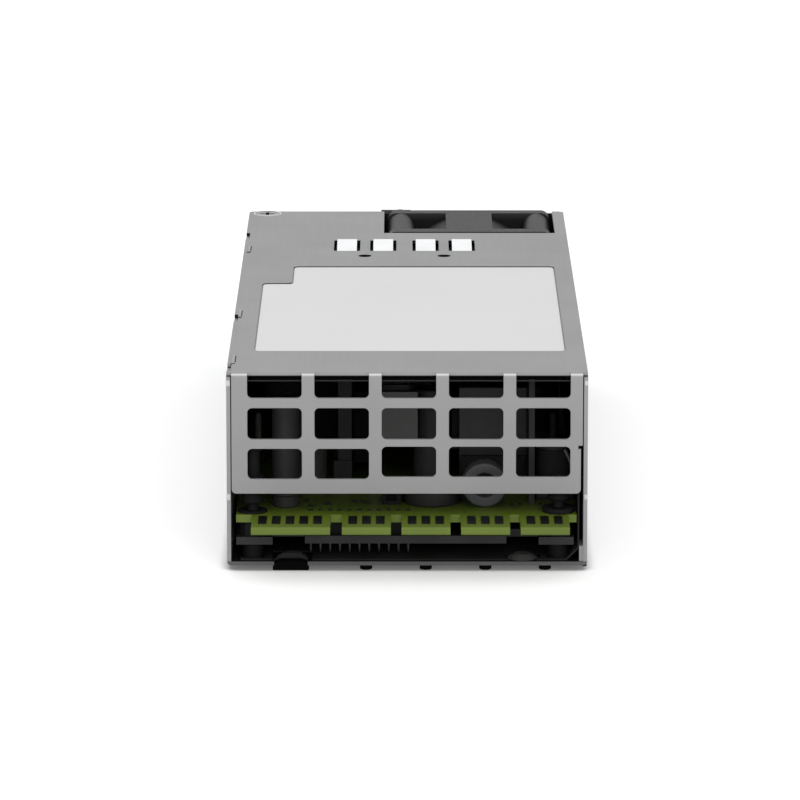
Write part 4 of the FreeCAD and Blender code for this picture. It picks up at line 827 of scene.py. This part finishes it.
class SolderBoards(bpy.types.Operator):
    """Pins with solder cones, solder marks and small surface parts"""
    bl_idname = "supply.solder_boards"
    bl_label = "Solder Boards"

    def execute(self, context):
        tin = smooth_metal("solder", (0.17, 0.17, 0.17), (0.35, 0.5), 900)
        pins, marks, parts, ends = [bmesh.new() for _ in range(4)]
        low, high = case_box("header_pins")
        count, half = 11, 0.25
        pitch, y = (high.x - low.x - 2 * half) / (count - 1), (low.y + high.y) / 2
        spike = [(0, low.z), (0.12, low.z + 0.05), (0.2, low.z + 0.5), (0.27, LOWER_LOW - 0.9),
                 (0.33, LOWER_LOW - 0.45), (0.45, LOWER_LOW - 0.15), (0.7, LOWER_LOW),
                 (0.24, LOWER_LOW), (0.24, BOARD_TOP - 1.7), (0, BOARD_TOP - 1.65)]
        dome = [(0.62, 0), (0.5, 0.12), (0.3, 0.24), (0, 0.28)]
        for i in range(count):
            x = low.x + half + i * pitch
            lathe(pins, spike, at(x, y, 0), "Z", 12)
            lathe(marks, dome, at(x, y, BOARD_TOP), "Z", 14)
        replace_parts(piece_from("header_pins_soldered", pins, tin),
                    "header_pins")
        piece_from("header_solder", marks, moulded("flat_solder", (0.018, 0.024, 0.016),
                                                   (0.5, 0.65), 900, gloss=0.2))
        for x, y, turned in CHIPS:
            wide, deep = (0.5, 1.0) if turned else (1.0, 0.5)
            block(parts, (x - wide * 0.7, y - deep * 0.7, BOARD_TOP),
                  (x + wide * 0.7, y + deep * 0.7, BOARD_TOP + 0.4), 0.05, 1)
            for side in (-1, 1):
                dx, dy = (0, side * 0.72) if turned else (side * 0.72, 0)
                block(ends, (x + dx - wide * 0.35, y + dy - deep * 0.35, BOARD_TOP),
                      (x + dx + wide * 0.35, y + dy + deep * 0.35, BOARD_TOP + 0.3), 0.08, 1)
        piece_from("chip_bodies", parts, moulded("chip_black", (0.012, 0.013, 0.010),
                                                 (0.55, 0.7), gloss=0.15))
        piece_from("chip_ends", ends, moulded("chip_solder", (0.03, 0.04, 0.02), (0.5, 0.65),
                                              900, gloss=0.2))
        return {"FINISHED"}


class MouldBumper(bpy.types.Operator):
    """Rubber bumper, and black caps on the front feet as painted shade"""
    bl_idname = "supply.mould_bumper"
    bl_label = "Mould Bumper"

    def execute(self, context):
        rubber = moulded("bumper_rubber", (0.0025, 0.0025, 0.0025), (0.8, 0.95), 2200,
                         gloss=0.05)
        low, high = case_box("front_bumper")
        mesh = bmesh.new()
        crown = high.z + 0.15
        slab(mesh, ((low.x - 0.3, low.z), (high.x + 0.3, low.z),
                    (high.x + 0.3, low.z + 0.95), (high.x - 0.25, crown - 0.35),
                    (high.x - 1.3, crown), (low.x + 1.3, crown),
                    (low.x + 0.25, crown - 0.35), (low.x - 0.3, low.z + 0.95)),
             low.y, high.y, 0.2, 2)
        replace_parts(piece_from("bumper_block", mesh, rubber), "front_bumper")
        # black caps over the pressed feet: painted shade where they meet the floor
        caps = bmesh.new()
        under = case_box("chassis_tray")[0].z
        for i in range(FEET):
            profile = [(0, under), (1.05, under)]
            profile += arc((1.05, under + 0.2), 0.2, -90, 0, 4)
            profile += [(1.25, -0.12), (1.2, -0.1)]
            lathe(caps, profile, at(FOOT_X + i * FOOT_STEP, FOOT_Y, 0), "Z", 24)
        piece_from("foot_shade_caps", caps, rubber)
        return {"FINISHED"}


class PressDetails(bpy.types.Operator):
    """Lanced tabs and dark slits along the cover's edge, wall nubs and the liner's front edge
    with painted highlights, and a dark sheet as painted shade under the springs
    """
    bl_idname = "supply.press_details"
    bl_label = "Press Details"

    def execute(self, context):
        sheet = context.scene.supply_metal.sheet
        # the lanced tabs take the sheet lightened to 1.15 times: painted highlight
        zinc = rolled_sheet("zinc_press_lit", scaled(sheet, 1.15), grain=0.1)
        black = moulded("press_shadow", (0.02, 0.02, 0.02), (0.7, 0.8), gloss=0.05)
        tabs, slits, film, slot_shade, nubs, tab, corner = [bmesh.new() for _ in range(7)]
        for y in TABS_Y:
            block(tabs, (-35.95, y, 39.7), (-35.35, y + 8, 40.14), 0.12)
            block(slits, (-35.3, y + 0.6, 39.7), (-35.12, y + 7.4, 40.02), 0.02, 1)
            block(slits, (-36.1, y - 0.9, 39.7), (-35.2, y - 0.25, 40.02), 0.02, 1)
        # a lighter strip along the front edge of the liner under the cover: painted highlight
        block(film, (-32.7, 0.88, 38.22), (33.2, 1.02, 38.5), 0.03, 1)
        # a dark sheet under the springs so their slots read dark: painted shade
        block(slot_shade, (-28, 136, 38.3), (24, 156, 38.45), 0.05, 1)
        for side in (-1, 1):
            for foot, head in NUBS_Z:
                block(nubs, (side * 36.1, -0.02, foot), (side * 36.72, 0.4, head), 0.1)
        piece_from("edge_tabs", tabs, zinc)
        piece_from("edge_slits", slits, black)
        # the nubs take the sheet at 1.9 times: painted highlights on the walls' front edges
        piece_from("wall_nub_highlights", nubs, rolled_sheet("nub_highlight_metal", scaled(sheet, 1.9), grain=0.1))
        piece_from("slot_shade_sheet", slot_shade, black)
        piece_from("film_edge_highlight", film, moulded("film_edge_highlight", (0.018, 0.018, 0.018), gloss=0.2))
        block(tab, (-5.9, 186.95, 39.18), (-3.3, 187.8, 39.98), 0.08, 1)
        piece_from("panel_tab", tab, moulded("panel_tab", (0.07, 0.07, 0.07), gloss=0.2))
        block(corner, (35.75, 0.1, -0.25), (36.7, 1.0, 0.55), 0.15)
        piece_from("corner_pad", corner, black)
        return {"FINISHED"}


class DriveScrews(bpy.types.Operator):
    """Cross-head screws in the cover, the side walls and the fan"""
    bl_idname = "supply.drive_screws"
    bl_label = "Drive Screws"

    def execute(self, context):
        steel = smooth_metal("screw_metal", context.scene.supply_metal.screw, (0.3, 0.45))
        # the cross recesses are near black: painted shade
        socket = moulded("recess_shade", (0.006, 0.006, 0.006), gloss=0.1)
        cover, rings, fan = bmesh.new(), bmesh.new(), bmesh.new()
        cross_head(cover, 2.7, 0.75, at(*COVER_SCREW, COVER_TOP - 0.04), "Z", sunk=True)
        # a bright band round the rim of the screw's dimple: painted highlight
        ring = [(2.85, -0.05), (3.3, -0.05), (3.25, 0.04), (2.95, 0.04)]
        lathe(rings, ring, at(*COVER_SCREW, COVER_TOP), "Z", 48, closed=True)
        piece_from("screw_rim_highlight", rings, smooth_metal("rim_highlight_metal", (0.6, 0.6, 0.6), (0.2, 0.3)))
        for side, axis in ((-1, "-X"), (1, "X")):
            cross_head(cover, 1.5, 0.68, at(side * 36.05, 181.4, 33), axis, 0.7)
        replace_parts(piece_from("cover_screw_heads", cover, steel,
                               recess=socket), "cover_screws")
        low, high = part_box("fan_screws")
        head, tall, ear = 2.4, 1.6, 3.0
        # the left two heads stand on the ears of the handle, the right two on the panel
        for x, seat in ((low.x + head * MM, tall), (high.x - head * MM, tall + ear)):
            for z in (low.z + head * MM, high.z - head * MM):
                cross_head(fan, head, 1.58, Vector((x, high.y - seat * MM, z)), "Y")
        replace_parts(piece_from("fan_screw_heads", fan, steel, recess=socket),
                    "fan_screws")
        return {"FINISHED"}


class BendLatchSpring(bpy.types.Operator):
    """Leaf spring of the latch, built as a bent strip"""
    bl_idname = "supply.bend_latch_spring"
    bl_label = "Bend Latch Spring"

    def execute(self, context):
        low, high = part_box("latch_spring")
        half = 0.15 * MM
        foot, pivot, tip = low.y, low.y + 9 * MM, low.y + 20.8 * MM
        root_x, crest_x = low.x + half, high.x - half
        corners = [(root_x, foot), (root_x, pivot - 3.9 * MM),
                   (crest_x, pivot - 1.5 * MM), (crest_x, pivot + 1.5 * MM),
                   (crest_x - 2.15 * MM, tip), (crest_x - 1.8 * MM, tip + 1.85 * MM)]
        path = [Vector((*start, 0)).lerp(Vector((*end, 0)), step / 8)
                for start, end in zip(corners, corners[1:]) for step in range(8)]
        path.append(Vector((*corners[-1], 0)))
        mesh, rings = bmesh.new(), []
        for i, point in enumerate(path):
            along = (path[min(i + 1, len(path) - 1)] - path[max(i - 1, 0)]).normalized()
            across = Vector((along.y, -along.x, 0)) * half
            rings.append([mesh.verts.new((side.x, side.y, z))
                          for side, z in ((point - across, low.z), (point + across, low.z),
                                          (point + across, high.z), (point - across, high.z))])
        join_rings(mesh, rings)
        mesh.faces.new(rings[0])
        mesh.faces.new(rings[-1])
        steel = smooth_metal("leaf_steel", scaled(context.scene.supply_metal.spring, 0.7),
                             (0.2, 0.35))
        piece = piece_from("latch_leaf", mesh, steel, body=None)
        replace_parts(piece, "latch_spring")
        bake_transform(piece)
        return {"FINISHED"}


class SoftenEdges(bpy.types.Operator):
    """Small rounded edges on moulded parts that stay as they are"""
    bl_idname = "supply.soften_edges"
    bl_label = "Soften Edges"

    def execute(self, context):
        for name, width in (("handle", 0.6), ("latch_pad", 0.35), ("mains_inlet", 0.2),
                            ("fan_rotor", 0.12), ("output_bus_bars", 0.12),
                            ("transformer_core", 0.4), ("signal_socket", 0.15),
                            ("rectifier_transistors", 0.2), ("label_blank", 0.03)):
            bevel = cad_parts[name].modifiers.new("soft_edges", "BEVEL")
            bevel.width = width * MM
            bevel.segments = 2
            bevel.limit_method = "ANGLE"
            bevel.angle_limit = math.radians(40)
        return {"FINISHED"}


class BuildStage(bpy.types.Operator):
    """Pale floor, soft light and the camera"""
    bl_idname = "supply.build_stage"
    bl_label = "Build Stage"

    def execute(self, context):
        stage = context.scene.supply_stage
        self.floor(stage)
        self.sky(context, stage)
        self.lamps(stage)
        self.camera(context, stage)
        return {"FINISHED"}

    def floor(self, stage):
        """A wide sheet of paper under the case."""
        mesh = bmesh.new()
        bmesh.ops.create_grid(mesh, x_segments=1, y_segments=1, size=6)
        data = bpy.data.meshes.new("floor")
        mesh.to_mesh(data)
        mesh.free()
        data.materials.append(self.paper(stage))
        added("floor", data)

    def paper(self, stage):
        """Matt paper, deeper in shade where something stands close to it."""
        material, tree, shader = new_material("floor_paper")
        close = add_node(tree, "AmbientOcclusion", Distance=stage.shade)
        close.samples = 16
        shade = map_range(tree, close.outputs["AO"], 0.38, 0.8)
        colour = tree.nodes.new("ShaderNodeMix")
        colour.data_type = "RGBA"
        tree.links.new(shade, colour.inputs["Factor"])
        colour.inputs["A"].default_value = (*scaled(stage.floor, 0.3), 1)
        colour.inputs["B"].default_value = (*stage.floor, 1)
        tree.links.new(colour.outputs["Result"], shader.inputs["Base Color"])
        lift = map_range(tree, shade, 0, 1, stage.lift * 0.4, stage.lift)
        seen = add_node(tree, "LightPath").outputs["Is Camera Ray"]
        tree.links.new(both(tree, seen, lift), shader.inputs["Emission Strength"])
        for socket, value in (("Roughness", 0.9), ("Specular IOR Level", 0),
                              ("Emission Color", WHITE)):
            shader.inputs[socket].default_value = value
        return material

    def sky(self, context, stage):
        """Even light on the object; plain white to the camera, in mirrors and through glass."""
        world = bpy.data.worlds.new("studio")
        world.use_nodes = True
        tree = world.node_tree
        light = tree.nodes["Background"]
        light.inputs["Color"].default_value = WHITE
        light.inputs["Strength"].default_value = stage.sky
        backdrop = add_node(tree, "Background", Color=WHITE, Strength=1)
        ray = add_node(tree, "LightPath").outputs
        through = both(tree, ray["Is Camera Ray"], ray["Is Transmission Ray"], "MAXIMUM")
        white = both(tree, through, ray["Is Glossy Ray"], "MAXIMUM")
        choose = add_node(tree, "MixShader", white)
        tree.links.new(light.outputs[0], choose.inputs[1])
        tree.links.new(backdrop.outputs[0], choose.inputs[2])
        tree.links.new(choose.outputs[0], tree.nodes["World Output"].inputs["Surface"])
        context.scene.world = world

    def lamps(self, stage):
        """A large lamp above the card edge and a weaker one behind."""
        middle = Vector((CASE_MIDDLE_X, 0, 0.02))
        for name, place, size, power in (
                ("key_light", (0.15, -1.2, 0.7), 1.0, stage.key),
                ("rear_light", (-0.5, 1.0, 1.0), 0.9, stage.key * 0.27)):
            light = bpy.data.lights.new(name, "AREA")
            light.shape = "DISK"
            light.size = size
            light.energy = power
            item = added(name, light)
            item.location = place
            item.rotation_euler = (middle - Vector(place)).to_track_quat("-Z", "Y").to_euler()

    def camera(self, context, stage):
        """Long lens, a little above the card edge."""
        lens = bpy.data.cameras.new("camera")
        lens.lens = stage.lens
        item = added("camera", lens)
        target, azimuth = at(-1.47, 92.5, 14.68), math.radians(0.016)
        away = Vector((math.sin(azimuth) * math.cos(stage.elevation),
                       -math.cos(azimuth) * math.cos(stage.elevation),
                       math.sin(stage.elevation)))
        item.location = target + stage.distance * away
        item.rotation_euler = (-away).to_track_quat("-Z", "Y").to_euler()
        context.scene.camera = item


OPERATORS = (FinishSheetMetal, FinishBoards, FinishMouldings, FinishComponents, TurnCans,
             WindCores, TurnPosts, SolderBoards, MouldBumper, PressDetails, DriveScrews,
             BendLatchSpring, SoftenEdges, BuildStage)


class SupplyPanel(bpy.types.Panel):
    """Settings and steps of the power supply"""
    bl_idname = "VIEW3D_PT_supply"
    bl_label = "Power Supply"
    bl_space_type = "VIEW_3D"
    bl_region_type = "UI"
    bl_category = "Power Supply"

    def draw(self, context):
        for group, settings in GROUPS:
            column = self.layout.column(align=True)
            for name in settings.__annotations__:
                column.prop(getattr(context.scene, group), name)
        for operator in OPERATORS:
            self.layout.operator(operator.bl_idname)


def register():
    for name, settings in GROUPS:
        bpy.utils.register_class(settings)
        setattr(bpy.types.Scene, name, bpy.props.PointerProperty(type=settings))
    for item in (*OPERATORS, SupplyPanel):
        bpy.utils.register_class(item)


def unregister():
    for item in reversed((*OPERATORS, SupplyPanel)):
        bpy.utils.unregister_class(item)
    for name, settings in reversed(GROUPS):
        delattr(bpy.types.Scene, name)
        bpy.utils.unregister_class(settings)


def main():
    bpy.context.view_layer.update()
    register()
    bpy.context.scene.view_settings.view_transform = "Standard"
    for operator in OPERATORS:
        family, name = operator.bl_idname.split(".")
        getattr(getattr(bpy.ops, family), name)()


if __name__ == "__main__":
    main()
